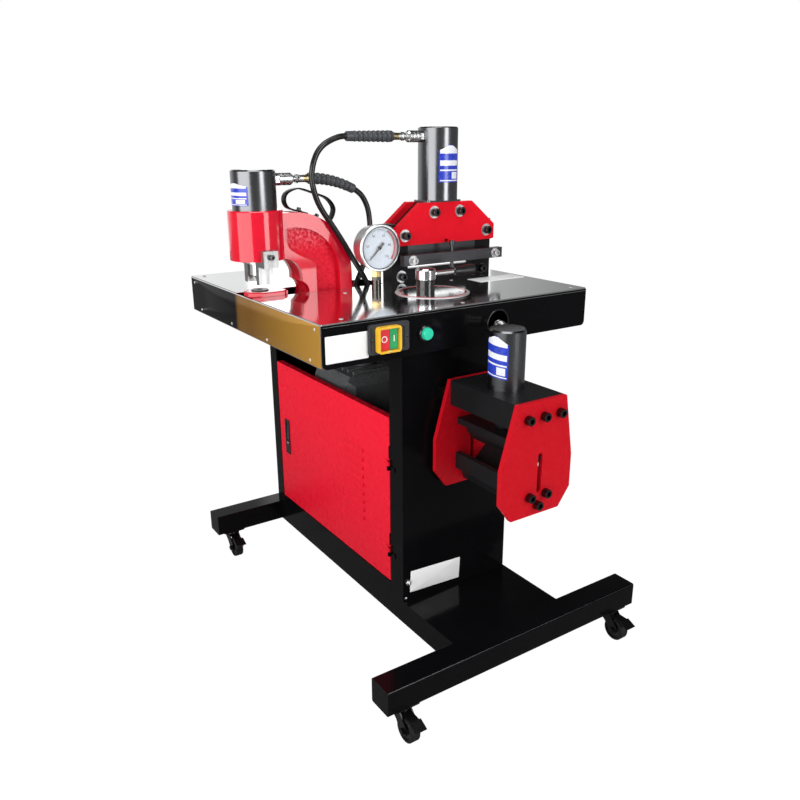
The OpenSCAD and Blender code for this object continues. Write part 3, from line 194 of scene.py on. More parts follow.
# a material's tree, with its shader's inputs and the point that is being shaded
class Paint(Graph):
    def __init__(self, name, **sockets):
        self.material = bpy.data.materials.new(name)
        self.material.use_nodes = True
        super().__init__(self.material.node_tree)
        self.shader = self.tree.nodes["Principled BSDF"].inputs
        for key, value in sockets.items():
            self.shader[key.replace("_", " ")].default_value = value
        self.spot = self.add("ShaderNodeTexCoord").outputs["Object"]
        self.x, self.y, self.z = self.split(self.spot)

    def group(self, tree, **values):
        return self.add("ShaderNodeGroup", {"Vector": self.spot, **values}, node_tree=tree).outputs

    def grain(self, fine, broad=9.0):
        return self.group(skinGrain, Fine=fine, Broad=broad)

    def brush(self, *squeeze):
        return self.group(brushMarks, Squeeze=squeeze)

    # 1 between two places of the layout along one axis, else 0
    def band(self, axis, limits):
        return self.between((self.x, self.y, self.z)[axis], *(metres(v, axis) for v in limits))

    # the last links: colour, gloss, and a bump of some strength and depth
    def finish(self, colour, rough, height, strength, depth=0.0003):
        self.feed(colour, self.shader["Base Color"])
        self.feed(rough, self.shader["Roughness"])
        bump = self.add("ShaderNodeBump", {"Strength": strength, "Distance": depth, "Height": height})
        self.feed(bump.outputs[0], self.shader["Normal"])
        return self.material


# sprayed enamel: clouded colour, orange-peel skin, and a film of dust on what faces up
def enamel(name, colour, rough=0.18, specular=0.5, relief=0.12, dust=0.25):
    paint = Paint(name, Specular_IOR_Level=specular, Coat_Roughness=0.06)
    grain = paint.grain(420.0)
    film = paint.group(settledDust, Amount=dust)["Mask"]
    base = paint.shade(grain["Cloud"], colour, 0.88, 1.12)
    gloss = paint.spread(grain["Cloud"], rough * 0.85, rough * 1.2)
    return paint.finish(paint.blend(film, base, tuple(0.75 * c + 0.06 for c in colour)),
                        paint.plus(gloss, paint.times(film, 0.25)), grain["Height"], relief, 0.0004)


# worked metal: scratches along one direction move its height, and a little of its gloss and colour
def metal(name, colour, rough, squeeze, relief=0.06, cloud=0.08):
    paint = Paint(name, Metallic=1.0)
    brush, grain = paint.brush(*squeeze), paint.grain(300.0, 14.0)
    tone = paint.shade(grain["Cloud"], colour, 1 - cloud, 1 + cloud)
    gloss = paint.spread(brush["Streak"], rough * 0.8, rough * 1.25)
    return paint.finish(paint.blend(paint.spread(brush["Streak"], 0.0, 0.35), tone, scaled(colour, 0.8)),
                        paint.plus(gloss, paint.spread(grain["Cloud"], 0.0, 0.05)), brush["Height"], relief)


# moulded plastic or rubber: a fine skin and slightly uneven colour
def moulded(name, colour, rough=0.35, fine=900.0, relief=0.1, specular=0.5, uneven=0.09):
    paint = Paint(name, Specular_IOR_Level=specular)
    grain = paint.grain(fine, 40.0)
    return paint.finish(paint.shade(grain["Cloud"], colour, 1 - uneven, 1 + uneven),
                        paint.ramp(grain["Height"], 0.3, 0.7, rough * 0.85, rough * 1.15),
                        grain["Height"], relief)


# cast iron under gloss red: smooth rims, and a coarse skin on the floor of each side pocket, with painted
# highlight specks high in the pocket
def castingRed():
    casting = {"colour": linear(222, 14, 44), "pocketDark": linear(212, 12, 36),
               "pocketLight": linear(246, 34, 62), "paintedGlint": linear(255, 170, 184), "middleY": 92.0,
               "pocketHalf": 0.0205, "pocketFrom": -236.0, "paintedGlintZ": (0.840, 0.892)}
    paint = Paint("castingRed", Specular_IOR_Level=0.15, Coat_Roughness=0.05)
    grain = paint.grain(330.0, 14.0)
    lumps = paint.noise(paint.spot, 150.0, 6.0, 0.65)
    off = paint.math("ABSOLUTE", paint.minus(paint.y, metres(casting["middleY"], 1)))
    deep = paint.ramp(off, casting["pocketHalf"], casting["pocketHalf"] - 0.001)
    edge = metres(casting["pocketFrom"], 0)
    inside = paint.times(deep, paint.ramp(paint.x, edge, edge + 0.006))
    rim = paint.shade(grain["Cloud"], casting["colour"], 0.92, 1.06)
    floor = paint.blend(paint.ramp(lumps, 0.35, 0.65), casting["pocketDark"], casting["pocketLight"])
    # painted highlight: pale pink specks on the pocket floor, more of them higher up
    paintedGlints = paint.times(paint.ramp(paint.z, *casting["paintedGlintZ"], 0.0, 0.75), paint.ramp(lumps, 0.46, 0.60))
    floor = paint.blend(paintedGlints, floor, casting["paintedGlint"])
    paint.feed(paint.spread(inside, 1.0, 0.0), paint.shader["Coat Weight"])
    skin = paint.plus(paint.times(grain["Height"], 0.25), paint.times(paint.times(lumps, inside), 2.0))
    return paint.finish(paint.blend(inside, rim, floor), paint.spread(inside, 0.2, 0.5), skin, 0.22, 0.0008)


# gloss red sheet with painted shade: a deeper red below one height than above it
def sheetRed(name, below, above, paintedShadeHeights, gloss):
    paint = Paint(name, Specular_IOR_Level=0.07)
    grain = paint.grain(420.0, 60.0)
    # painted shade: the lower part of each sheet is a deeper red
    return paint.finish(paint.blend(paint.ramp(paint.z, *paintedShadeHeights), below, above),
                        paint.spread(grain["Cloud"], *gloss), grain["Height"], 0.01, 0.0002)


# chrome shell with a brass tail: brass begins a set way out from each cylinder's port
def couplingMetal():
    coupling = {"chrome": (0.80, 0.81, 0.81), "brass": (0.44, 0.37, 0.20), "brassFrom": 64.0,
                "punchPort": -247.0, "cutterPort": 96.0, "bendCentre": (23.0, -331.0), "bendRadius": 36.0,
                "bendAngle": 59.51, "lowest": 0.900, "highest": 1.040}
    paint = Paint("couplingMetal", Metallic=1.0)
    brush = paint.brush(20.0, 500.0, 500.0)
    upper = paint.math("GREATER_THAN", paint.z, coupling["highest"])
    lower = paint.math("LESS_THAN", paint.z, coupling["lowest"])
    middle = paint.minus(paint.minus(1.0, upper), lower)
    reach, angle = coupling["brassFrom"], math.radians(coupling["bendAngle"])
    outX = paint.times(paint.minus(paint.x, metres(coupling["bendCentre"][0], 0)), math.cos(angle))
    outY = paint.times(paint.minus(paint.y, metres(coupling["bendCentre"][1], 1)), math.sin(angle))
    bendFrom = (coupling["bendRadius"] + reach) / 1000
    tails = (
        paint.times(paint.math("GREATER_THAN", paint.x, metres(coupling["punchPort"] + reach, 0)), middle),
        paint.times(paint.math("LESS_THAN", paint.x, metres(coupling["cutterPort"] - reach, 0)), upper),
        paint.times(paint.math("GREATER_THAN", paint.plus(outX, outY), bendFrom), lower))
    brass = paint.plus(paint.plus(tails[0], tails[1]), tails[2], clamp=True)
    return paint.finish(paint.blend(brass, coupling["chrome"], coupling["brass"]),
                        paint.spread(brush["Streak"], 0.24, 0.38), brush["Height"], 0.05)


# a coloured lens in a black ring: the ring is whatever lies close to the skirt
def lampGreen():
    lamp = {"colour": linear(46, 218, 176), "ring": (0.012, 0.012, 0.013), "ringFace": -248.1}
    paint = Paint("lampGreen", Coat_Weight=0.6)
    grain = paint.grain(700.0, 60.0)
    ring = paint.math("GREATER_THAN", paint.y, metres(lamp["ringFace"], 1))
    lens = paint.shade(grain["Cloud"], lamp["colour"], 0.9, 1.08)
    return paint.finish(paint.blend(ring, lens, lamp["ring"]), paint.spread(ring, 0.14, 0.25),
                        grain["Height"], 0.05, 0.0002)


# black tread round a greyer hub, told apart by the distance from the axle
def wheelRubber():
    wheel = {"trackY": 0.414, "trail": -27.0, "axleZ": 0.025, "hub": 0.0165,
             "hubGrey": (0.010, 0.0105, 0.011), "treadDark": (0.003, 0.003, 0.0033),
             "treadLight": (0.006, 0.006, 0.006)}
    paint = Paint("wheelRubber")
    grain = paint.grain(800.0, 80.0)
    off = paint.math("ABSOLUTE", paint.minus(paint.y, metres(wheel["trail"], 1)))
    reach = paint.reach(paint.minus(off, wheel["trackY"]), paint.minus(paint.z, wheel["axleZ"]))
    tread = paint.ramp(reach, wheel["hub"], wheel["hub"] + 0.0005)
    worn = paint.blend(grain["Cloud"], wheel["treadDark"], wheel["treadLight"])
    return paint.finish(paint.blend(tread, wheel["hubGrey"], worn), paint.spread(tread, 0.35, 0.6),
                        grain["Height"], 0.25, 0.0004)


# bright stainless sheet, brushed along the table, with faint wiping marks
def sheetSteel():
    sheet = {"colour": (0.80, 0.81, 0.82), "rough": (0.068, 0.102)}
    paint = Paint("sheetSteel", Metallic=1.0)
    brush, wipes = paint.brush(9.0, 1300.0, 1300.0), paint.grain(260.0, 5.0)["Cloud"]
    gloss = paint.spread(brush["Streak"], *sheet["rough"])
    return paint.finish(paint.shade(wipes, sheet["colour"], 0.93, 1.0),
                        paint.plus(gloss, paint.spread(wipes, 0.0, 0.03)), brush["Height"], 0.03, 0.0002)


# polished side sheet with a warm bronze cast; painted reflection: the colour dims from the front and deepens
# to black towards its far end
def bronzeSheet():
    bronze = {"near": (0.60, 0.32, 0.060), "middle": (0.24, 0.11, 0.015), "reflectedBlack": (0.004, 0.004, 0.004),
              "reflectionDimY": (-236.0, 70.0), "reflectionFadeY": (128.0, 150.0), "rough": (0.112, 0.168)}
    paint = Paint("bronzeSheet", Specular_IOR_Level=0.05)
    brush, haze = paint.brush(1200.0, 7.0, 1200.0), paint.grain(200.0, 4.0)["Cloud"]
    # painted reflection: the bronze tone dims towards the middle, then fades to black and loses its metal
    # towards the far end
    reflectionDimming = paint.ramp(paint.y, *(metres(v, 1) for v in bronze["reflectionDimY"]))
    reflectionFade = paint.ramp(paint.y, *(metres(v, 1) for v in bronze["reflectionFadeY"]))
    paint.feed(paint.spread(reflectionFade, 0.5, 0.0), paint.shader["Metallic"])
    gloss = paint.spread(brush["Streak"], *bronze["rough"])
    tone = paint.blend(reflectionDimming, bronze["near"], bronze["middle"])
    return paint.finish(paint.blend(reflectionFade, tone, bronze["reflectedBlack"]),
                        paint.plus(gloss, paint.spread(haze, 0.0, 0.06)), brush["Height"], 0.03, 0.0002)


# plain printed label: a blue border and blue bands on white, laid out over the piece's own map
def bandedLabel():
    label = {"blue": linear(38, 62, 190), "white": linear(238, 240, 246), "border": 0.05,
             "bands": ((0.58, 0.76), (0.34, 0.44), (0.06, 0.30)), "boxU": (0.56, 0.9), "boxV": (0.09, 0.27)}
    paint = Paint("bandedLabel", Coat_Weight=0.4, Coat_Roughness=0.12)
    u, v, _ = paint.split(paint.add("ShaderNodeUVMap", uv_map="UVMap").outputs[0])
    grain = paint.grain(1500.0, 120.0)
    side, end = label["border"], label["border"] * 0.6
    blue = paint.minus(1.0, paint.times(paint.between(u, side, 1 - side), paint.between(v, end, 1 - end)))
    for limits in label["bands"]:
        blue = paint.plus(blue, paint.between(v, *limits), clamp=True)
    box = paint.times(paint.between(u, *label["boxU"]), paint.between(v, *label["boxV"]))
    blue = paint.times(blue, paint.minus(1.0, box))
    ink = paint.shade(grain["Cloud"], label["blue"], 0.9, 1.1)
    return paint.finish(paint.blend(blue, label["white"], ink), paint.spread(grain["Cloud"], 0.22, 0.32),
                        grain["Height"], 0.03, 0.0002)


# clear flat glass over the dial: mostly see-through, its skin very slightly uneven
def dialGlass():
    paint = Paint("dialGlass", Specular_IOR_Level=0.4)
    grain = paint.grain(60.0, 30.0)
    paint.feed((1.0, 1.0, 1.0), paint.shader["Base Color"])
    paint.feed(paint.spread(grain["Cloud"], 0.02, 0.06), paint.shader["Roughness"])
    paint.feed(paint.ramp(grain["Height"], 0.3, 0.7, 0.05, 0.09), paint.shader["Alpha"])
    return paint.material


# black oxide screws, but bright zinc for the washers on the red plates and the clamp bar's two screws
def screwMetal():
    screw = {"black": (0.085, 0.085, 0.09), "zinc": (0.80, 0.81, 0.81), "frontWashers": (22.9, 25.1),
             "backWashers": (90.9, 93.1), "barY": (-21.0, -7.8), "barZ": (798.0, 824.0), "lowY": (37.9, 40.1),
             "lowX": 60.0, "lowZ": (740.0, 790.0)}
    paint = Paint("screwMetal", Metallic=1.0)
    brush, grain = paint.brush(300.0, 300.0, 300.0), paint.grain(420.0, 60.0)
    bar = paint.times(paint.band(1, screw["barY"]), paint.band(2, screw["barZ"]))
    left = paint.math("LESS_THAN", paint.x, metres(screw["lowX"], 0))
    low = paint.times(paint.times(paint.band(1, screw["lowY"]), left), paint.band(2, screw["lowZ"]))
    washers = paint.plus(paint.band(1, screw["frontWashers"]), paint.band(1, screw["backWashers"]))
    bright = paint.plus(paint.plus(bar, low), washers, clamp=True)
    tone = paint.shade(grain["Cloud"], (1.0, 1.0, 1.0), 0.92, 1.0)
    plain = paint.blend(bright, screw["black"], screw["zinc"])
    return paint.finish(paint.blend(1.0, plain, tone, "MULTIPLY"), paint.spread(bright, 0.24, 0.36),
                        brush["Height"], 0.06)


# gauge stem: brass fitting above a dark steel pipe
def stemMetal():
    stem = {"brass": (0.60, 0.45, 0.22), "steel": (0.10, 0.095, 0.085), "from": 0.783}
    paint = Paint("stemMetal", Metallic=1.0)
    brush = paint.brush(60.0, 60.0, 900.0)
    upper = paint.math("GREATER_THAN", paint.z, stem["from"])
    return paint.finish(paint.blend(upper, stem["steel"], stem["brass"]),
                        paint.spread(brush["Streak"], 0.18, 0.28), brush["Height"], 0.06)


# bright chrome, with the clamp bar's screw picked out in dark steel
def brightChrome():
    chrome = {"bright": (0.80, 0.81, 0.82), "dark": (0.10, 0.10, 0.105), "screwX": (131.0, 151.0),
              "screwY": (-8.0, 8.0), "hubX": (-16.0, 32.0)}
    paint = Paint("valveChrome", Metallic=1.0)
    brush = paint.brush(300.0, 300.0, 60.0)
    screw = paint.times(paint.band(0, chrome["screwX"]), paint.band(1, chrome["screwY"]))
    gloss = paint.spread(brush["Streak"], 0.13, 0.19)
    return paint.finish(paint.blend(screw, chrome["bright"], chrome["dark"]),
                        paint.plus(gloss, paint.spread(paint.band(0, chrome["hubX"]), 0.2, 0.0)),
                        brush["Height"], 0.02)


# the valve's round cover: mirror finish inside a satin rim, told apart by the distance from its centre
def coverSteel():
    cover = {"centre": (20.0, -92.0), "rim": 0.0725, "mirror": (0.80, 0.81, 0.82),
             "satin": (0.90, 0.84, 0.85)}
    paint = Paint("coverSteel", Metallic=1.0)
    brush = paint.brush(400.0, 400.0, 400.0)
    reach = paint.reach(*(paint.minus(value, metres(cover["centre"][axis], axis))
                          for axis, value in enumerate((paint.x, paint.y))))
    rim = paint.ramp(reach, cover["rim"], cover["rim"] + 0.0005)
    return paint.finish(paint.blend(rim, cover["mirror"], cover["satin"]), paint.spread(rim, 0.12, 0.55),
                        brush["Height"], 0.01, 0.0002)


finishes = {
    "black_paint": enamel("blackEnamel", (0.0036, 0.0036, 0.0042), rough=0.12, specular=0.09, relief=0.02,
                          dust=0.0),
    "castor_steel": enamel("castorSteel", (0.003, 0.003, 0.0032), rough=0.2, specular=0.4, dust=0.0),
    "wheel_rubber": wheelRubber(),
    "pedal_plastic": moulded("pedalPlastic", (0.004, 0.004, 0.0044), rough=0.26),
    "door_paint": sheetRed("doorRed", linear(214, 24, 46), linear(240, 26, 52), (0.15, 0.50), (0.26, 0.30)),
    "catch_black": moulded("catchBlack", (0.008, 0.009, 0.01), rough=0.22),
    "catch_grey": moulded("catchGrey", (0.03, 0.033, 0.037), rough=0.2),
    "stainless": sheetSteel(),
    "mirror_steel": coverSteel(),
    "switch_black": moulded("switchBlack", (0.04, 0.042, 0.047), rough=0.38, specular=0.3),
    "guard_orange": moulded("guardOrange", linear(246, 190, 50), rough=0.22, relief=0.04),
    "button_red": moulded("buttonRed", linear(228, 46, 58), rough=0.25, relief=0.04),
    "button_green": moulded("buttonGreen", linear(44, 164, 98), rough=0.25, relief=0.04),
    "lamp_green": lampGreen(),
    "valve_black": moulded("valveBlack", (0.018, 0.018, 0.019), rough=0.16, relief=0.02, specular=0.8),
    "valve_chrome": brightChrome(),
    "pointer_black": moulded("pointerBlack", (0.010, 0.010, 0.010), rough=0.4),
    "fitting_brass": stemMetal(),
    "casting_red": castingRed(),
    "plate_red": sheetRed("plateRed", linear(196, 18, 32), linear(230, 22, 40), (0.60, 0.68), (0.24, 0.30)),
    "gunmetal": metal("gunmetal", (0.19, 0.193, 0.202), rough=0.24, squeeze=(5.0, 5.0, 5.0), relief=0.001,
                      cloud=0.01),
    "tool_steel": metal("toolSteel", (0.36, 0.36, 0.36), rough=0.34, squeeze=(500.0, 500.0, 20.0)),
    "die_steel": metal("dieSteel", (0.10, 0.10, 0.108), rough=0.34, squeeze=(14.0, 600.0, 600.0)),
    "body_black": enamel("oiledBlack", (0.011, 0.011, 0.012), rough=0.36, specular=0.12, relief=0.05,
                         dust=0.05),
    "bolt_black": screwMetal(),
    "coupling_chrome": couplingMetal(),
    "sleeve_grey": moulded("sleeveGrey", (0.058, 0.063, 0.070), rough=0.4, fine=600.0),
    "hose_rubber": moulded("hoseRubber", (0.013, 0.013, 0.014), rough=0.2, fine=700.0, relief=0.08),
    "tank_paint": enamel("tankPaint", (0.03, 0.032, 0.036), rough=0.35),
    "pump_cast": moulded("pumpCast", (0.16, 0.165, 0.17), rough=0.3, fine=200.0, relief=0.05, specular=1.0),
}
plateWhite = moulded("plateWhite", linear(250, 250, 250), rough=0.3, relief=0.0, uneven=0.01)
dialWhite = moulded("dialWhite", linear(228, 238, 250), rough=0.4, relief=0.02, uneven=0.02)
dialRed = moulded("dialRed", linear(214, 40, 52), rough=0.4, relief=0.02)
bronze = bronzeSheet()
labelPrint = bandedLabel()
clearGlass = dialGlass()

for entry in frame["record"]["subparts"]:
    mesh = nodes[entry["node"]].data
    mesh.materials.clear()
    mesh.materials.append(finishes[entry["material_slot"]])
print("finishes on the CAD nodes:", len(finishes))


# quads between neighbouring rows and columns of a grid, whose last column may wrap round to its first
def gridFaces(rows, cols, wrap=False):
    r, c = np.meshgrid(np.arange(rows - 1), np.arange(cols if wrap else cols - 1), indexing="ij")
    across = (c + 1) % cols
    below = (r + 1) * cols
    return np.stack([r * cols + c, r * cols + across, below + across, below + c], axis=-1).reshape(-1, 4)


def addObject(name, data):
    item = bpy.data.objects.new(name, data)
    bpy.context.scene.collection.objects.link(item)
    return item


# one mesh from points in the layout's millimetres and faces: doubles merged, faces turned outwards; a finish
# may be given by its slot's name
def addPiece(name, shape, finish, body="frame", sharp=35.0, uv=None, slot=None):
    points, faces = shape
    mesh = bpy.data.meshes.new(name)
    mesh.from_pydata(place(points).tolist(), [], [list(map(int, f)) for f in faces])
    if isinstance(finish, str):
        finish, slot = finishes[finish], finish
    mesh.materials.append(finish)
    if uv is not None:
        layer = mesh.uv_layers.new(name="UVMap")
        corner = np.zeros(len(mesh.loops), np.int32)
        mesh.loops.foreach_get("vertex_index", corner)
        layer.data.foreach_set("uv", np.asarray(uv, np.float32)[corner].ravel())
    work = bmesh.new()
    work.from_mesh(mesh)
    bmesh.ops.remove_doubles(work, verts=work.verts, dist=1e-6)
    bmesh.ops.recalc_face_normals(work, faces=work.faces)
    work.to_mesh(mesh)
    work.free()
    mesh.polygons.foreach_set("use_smooth", np.ones(len(mesh.polygons), bool))
    mesh.set_sharp_from_angle(angle=math.radians(sharp))
    piece = addObject(name, mesh)
    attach(piece, body)
    return piece


# the same points and faces again at each place
def repeated(shape, places):
    points, faces = shape
    moves = np.asarray(places, float)
    allPoints = (points[None] + moves[:, None, :]).reshape(-1, 3)
    allFaces = (np.asarray(faces)[None] + (np.arange(len(moves)) * len(points))[:, None, None]).reshape(-1, 4)
    return allPoints, allFaces


# several shapes as one
def joined(shapes):
    starts = np.cumsum([0] + [len(points) for points, _ in shapes])
    faces = [[i + start for i in f] for (_, some), start in zip(shapes, starts) for f in some]
    return np.concatenate([points for points, _ in shapes]), faces


# each (radius, height) of a profile goes round an axis in equal steps of angle
def turned(profile, centre, axis, sides=40):
    a = np.asarray(axis, float) / np.linalg.norm(axis)
    b = np.cross(a, (0.0, 0.0, 1.0) if abs(a[2]) < 0.9 else (0.0, 1.0, 0.0))
    b /= np.linalg.norm(b)
    c = np.cross(a, b)
    p = np.asarray(profile, float)
    t = np.linspace(0, 2 * np.pi, sides, endpoint=False)
    ring = np.cos(t)[:, None] * b + np.sin(t)[:, None] * c
    points = np.asarray(centre, float) + p[:, None, 1:2] * a + p[:, None, 0:1] * ring[None]
    return points.reshape(-1, 3), gridFaces(len(p), sides, wrap=True)


# a rectangle's outline with quarter circles at its corners, as one ring of points
def roundedOutline(width, height, radius, steps=6):
    t = np.linspace(0, np.pi / 2, steps)[None, :] + np.arange(4)[:, None] * np.pi / 2
    side = np.array([(1, 1), (-1, 1), (-1, -1), (1, -1)], float)
    x = side[:, 0:1] * (width / 2 - radius) + radius * np.cos(t)
    y = side[:, 1:2] * (height / 2 - radius) + radius * np.sin(t)
    return np.stack([x.ravel(), y.ravel()], axis=-1)


# rings of one outline: closed at the back, up the rim, over a small rounded edge, closed in mid-face
def plate(width, height, thick, radius, centre, across, upwards, edge=0.3):
    a, b = np.asarray(across, float), np.asarray(upwards, float)
    rings = []
    steps = ((0, 0, 0.001), (0, 0, 1), (0, thick - edge, 1), (edge * 0.3, thick - edge * 0.3, 1),
             (edge, thick, 1), (edge, thick, 0.001))
    for inset, level, squeeze in steps:
        outline = roundedOutline(width - 2 * inset, height - 2 * inset, max(radius - inset, 0.05)) * squeeze
        rings.append(np.column_stack([outline, np.full(len(outline), float(level))]))
    flat = np.concatenate(rings)
    points = np.asarray(centre, float) + flat[:, 0:1] * a + flat[:, 1:2] * b + flat[:, 2:3] * np.cross(a, b)
    return points, gridFaces(len(rings), len(rings[0]), wrap=True)


# smooth curve through the points: each stretch is a cubic of its four neighbours
def smoothPath(points, steps):
    p = np.asarray(points, float)
    padded = np.concatenate([[2 * p[0] - p[1]], p, [2 * p[-1] - p[-2]]])
    t = np.linspace(0, 1, steps, endpoint=False)[:, None, None]
    a, b, c, d = padded[:-3], padded[1:-2], padded[2:-1], padded[3:]
    curve = 0.5 * (2 * b + (c - a) * t + (2 * a - 5 * b + 4 * c - d) * t**2 + (3 * b - a - 3 * c + d) * t**3)
    return np.concatenate([curve.transpose(1, 0, 2).reshape(-1, p.shape[1]), p[-1:]])


# an outline carried along a path: its side vector goes on with the least twist, and both ends are closed
def swept(path, outline, side=(0.08, 1.0, 0.3)):
    forward = np.gradient(path, axis=0)
    forward /= np.linalg.norm(forward, axis=1)[:, None]
    sides = np.zeros_like(path)
    for i, h in enumerate(forward):
        side = side - np.dot(side, h) * h
        side /= np.linalg.norm(side)
        sides[i] = side
    ups = np.cross(forward, sides)
    rings = path[:, None] + outline[..., 0:1] * sides[:, None] + outline[..., 1:2] * ups[:, None]
    rows, cols = rings.shape[:2]
    ends = [list(range(cols)), list(range((rows - 1) * cols, rows * cols))]
    return rings.reshape(-1, 3), gridFaces(rows, cols, wrap=True).tolist() + ends


# a circle carried along a path; its radius may change from point to point
def tube(path, radius, sides=16):
    t = np.linspace(0, 2 * np.pi, sides, endpoint=False)
    r = np.broadcast_to(np.asarray(radius, float), (len(path),))[:, None, None]
    return swept(path, r * np.column_stack([np.cos(t), np.sin(t)]))


# small square bars of any length: each lies along its own direction, with its own width and height
def bars(starts, ends, width, low, high, up):
    a, b, u = np.asarray(starts, float), np.asarray(ends, float), np.asarray(up, float)
    along = (b - a) / np.linalg.norm(b - a, axis=1)[:, None]
    side = np.cross(along, u) * width / 2
    corners = [a - side, a + side, b + side, b - side]
    points = np.stack([c + u * level for level in (low, high) for c in corners], axis=1)
    block = np.array([[0, 3, 2, 1], [4, 5, 6, 7], [0, 1, 5, 4], [1, 2, 6, 5], [2, 3, 7, 6], [3, 0, 4, 7]])
    faces = (block[None] + (np.arange(len(a)) * 8)[:, None, None]).reshape(-1, 4)
    return points.reshape(-1, 3), faces


# camera
camera = {"at": (-932.85, -1403.77, 1047.09), "aim": (-2.84, 0.02, 493.94), "lens": 34.60, "roll": -0.34}


def addCamera(settings):
    data = bpy.data.cameras.new("camera")
    data.lens = settings["lens"]
    data.sensor_width = 36.0
    data.clip_end = 60.0
    eye = addObject("camera", data)
    start, aim = Vector(place(settings["at"])), Vector(place(settings["aim"]))
    turn = (aim - start).to_track_quat("-Z", "Y").to_matrix().to_4x4()
    roll = Matrix.Rotation(math.radians(settings["roll"]), 4, "Z")
    eye.matrix_world = Matrix.Translation(start) @ turn @ roll
    bpy.context.scene.camera = eye


addCamera(camera)
print("camera set")

hoses = {
    "diameter": 12.0,
    "punch_hose": [
        [-59.81, 92, 961.89], [-53.51, 92, 958.84], [-42, 92, 950], [-33, 92, 938], [-25, 92, 920],
        [-21, 92, 899], [-20, 92, 877], [-22, 92, 855], [-27, 92, 832], [-34, 92, 810], [-43, 91, 789],
        [-55, 89, 768], [-66, 84, 749], [-72, 74, 732], [-73, 57, 718], [-68, 37, 709], [-57, 16, 706],
        [-43, -5, 706], [-28, -21, 706], [-18, -34, 706], [-16, -39, 706], [-16, -44, 706]],
    "cutter_hose": [
        [-95, 58, 1070], [-101, 58, 1070], [-114, 57, 1068], [-132, 56, 1062], [-150, 54, 1053],
        [-164, 53, 1040], [-174, 51, 1024], [-180, 50, 1006], [-182, 50, 988], [-179, 49, 966],
        [-171, 49, 942], [-158, 49, 919], [-142, 49, 897], [-126, 49, 874], [-110, 49, 850], [-94, 50, 825],
        [-80, 53, 806], [-66, 58, 788], [-52, 63, 768], [-41, 66, 748], [-31, 62, 729], [-20, 48, 715],
        [-8, 28, 708], [4, 6, 706], [14, -16, 706], [20, -38, 706], [20, -44, 706]],
    "bender_hose": [
        [72.73, -246.55, 708], [75.77, -241.38, 708], [86, -222, 706], [93, -207, 706], [99, -184, 706],
        [100, -160, 706], [96, -136, 706], [86, -114, 706], [70, -99, 706], [55, -94, 706], [48, -94, 706]],
}


def addHose(node, name):
    path = smoothPath(hoses[node], 6)
    hose = addPiece(name, tube(path, hoses["diameter"] / 2, 20), "hose_rubber")
    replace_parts(hose, node)


addHose("punch_hose", "punchHose")
addHose("cutter_hose", "cutterHose")
addHose("bender_hose", "benderHose")

# ribbed rubber sleeves over the hose ends: a plain collar, ribs that shrink a little, a longer plain end
sleeves = {"length": 113.0, "start": 12.2, "end": 10.4, "collar": 5.0, "cuff": 15.0, "ribs": 8,
           "ribDepth": 3.2, "bend": 250.0, "punchEnd": (-169.0, 92.0, 987.0),
           "cutterEnd": (18.0, 58.0, 1070.0)}


# radius along the sleeve: a straight taper plus one half wave for each rib
def sleeveRadius(along):
    s = sleeves
    taper = s["start"] + (s["end"] - s["start"]) * along / s["length"]
    ribbed = (along > s["collar"]) & (along < s["length"] - s["cuff"])
    phase = (along - s["collar"]) / (s["length"] - s["collar"] - s["cuff"]) * s["ribs"]
    wave = np.abs(np.sin(np.pi * phase)) ** 0.6
    return np.where(ribbed, taper - s["ribDepth"] * (1 - wave) + 0.3, taper - 0.35)


def addSleeve(name, centres):
    along = np.concatenate([[0], np.cumsum(np.linalg.norm(np.diff(centres, axis=0), axis=1))])
    ends = 1.0 - 0.12 * (np.exp(-along / 0.8) + np.exp((along - along[-1]) / 0.8))
    return addPiece(name, tube(centres, sleeveRadius(along) * ends, 28), "sleeve_grey", sharp=60)


sleeveSteps = np.linspace(0, sleeves["length"], 160)
lean = sleeveSteps / sleeves["bend"]
bentLine = np.array(sleeves["punchEnd"]) + np.column_stack(
    [sleeves["bend"] * np.sin(lean), 0 * lean, -sleeves["bend"] * (1 - np.cos(lean))])
straightLine = np.array(sleeves["cutterEnd"]) - np.column_stack([sleeveSteps, 0 * lean, 0 * lean])
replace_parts(addSleeve("punchSleeve", bentLine), "hose_sleeves")
addSleeve("cutterSleeve", straightLine)

# carrying strap: a flat band with rounded edges, swept along the same points as its solid
strap = {"origin": (-292.0, 92.0, 924.0), "arcX": 71.0, "arcZ": -135.0, "radius": 134.8,
         "width": 20.0, "thick": 3.0, "startX": (115, 101), "endX": (136,),
         "loop": ((88, -0.3), (71, 7), (65, 21), (70, 34), (86, 42), (102, 43), (131, 34), (163, 22),
                  (179, 3), (177, -14), (168, -26), (157, -27.5), (147, -23))}


def onArc(x):
    return (x, strap["arcZ"] + math.sqrt(strap["radius"] ** 2 - (x - strap["arcX"]) ** 2))


def addStrap():
    start, end = ([onArc(x) for x in strap[key]] for key in ("startX", "endX"))
    line = smoothPath(start + list(strap["loop"]) + end, 10)
    path = np.column_stack([line[:, 0], 0 * line[:, 0], line[:, 1]]) + np.array(strap["origin"])
    outline = roundedOutline(strap["width"], strap["thick"], 1.2, 5)
    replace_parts(addPiece("carryStrap", swept(path, outline, (0.0, 1.0, 0.0)), "black_paint"), "carry_strap")


addStrap()
print("sleeves and strap made")


# button-headed rivets and screws: a low dome on a thin skirt
def dome(radius, height, sink=0.6):
    t = np.linspace(0, np.pi / 2, 7)
    cap = np.column_stack([radius * np.cos(t), height * np.sin(t)])
    cap[-1, 0] = 0.01
    return np.concatenate([[(0.01, -sink), (radius * 0.98, -sink)], cap])


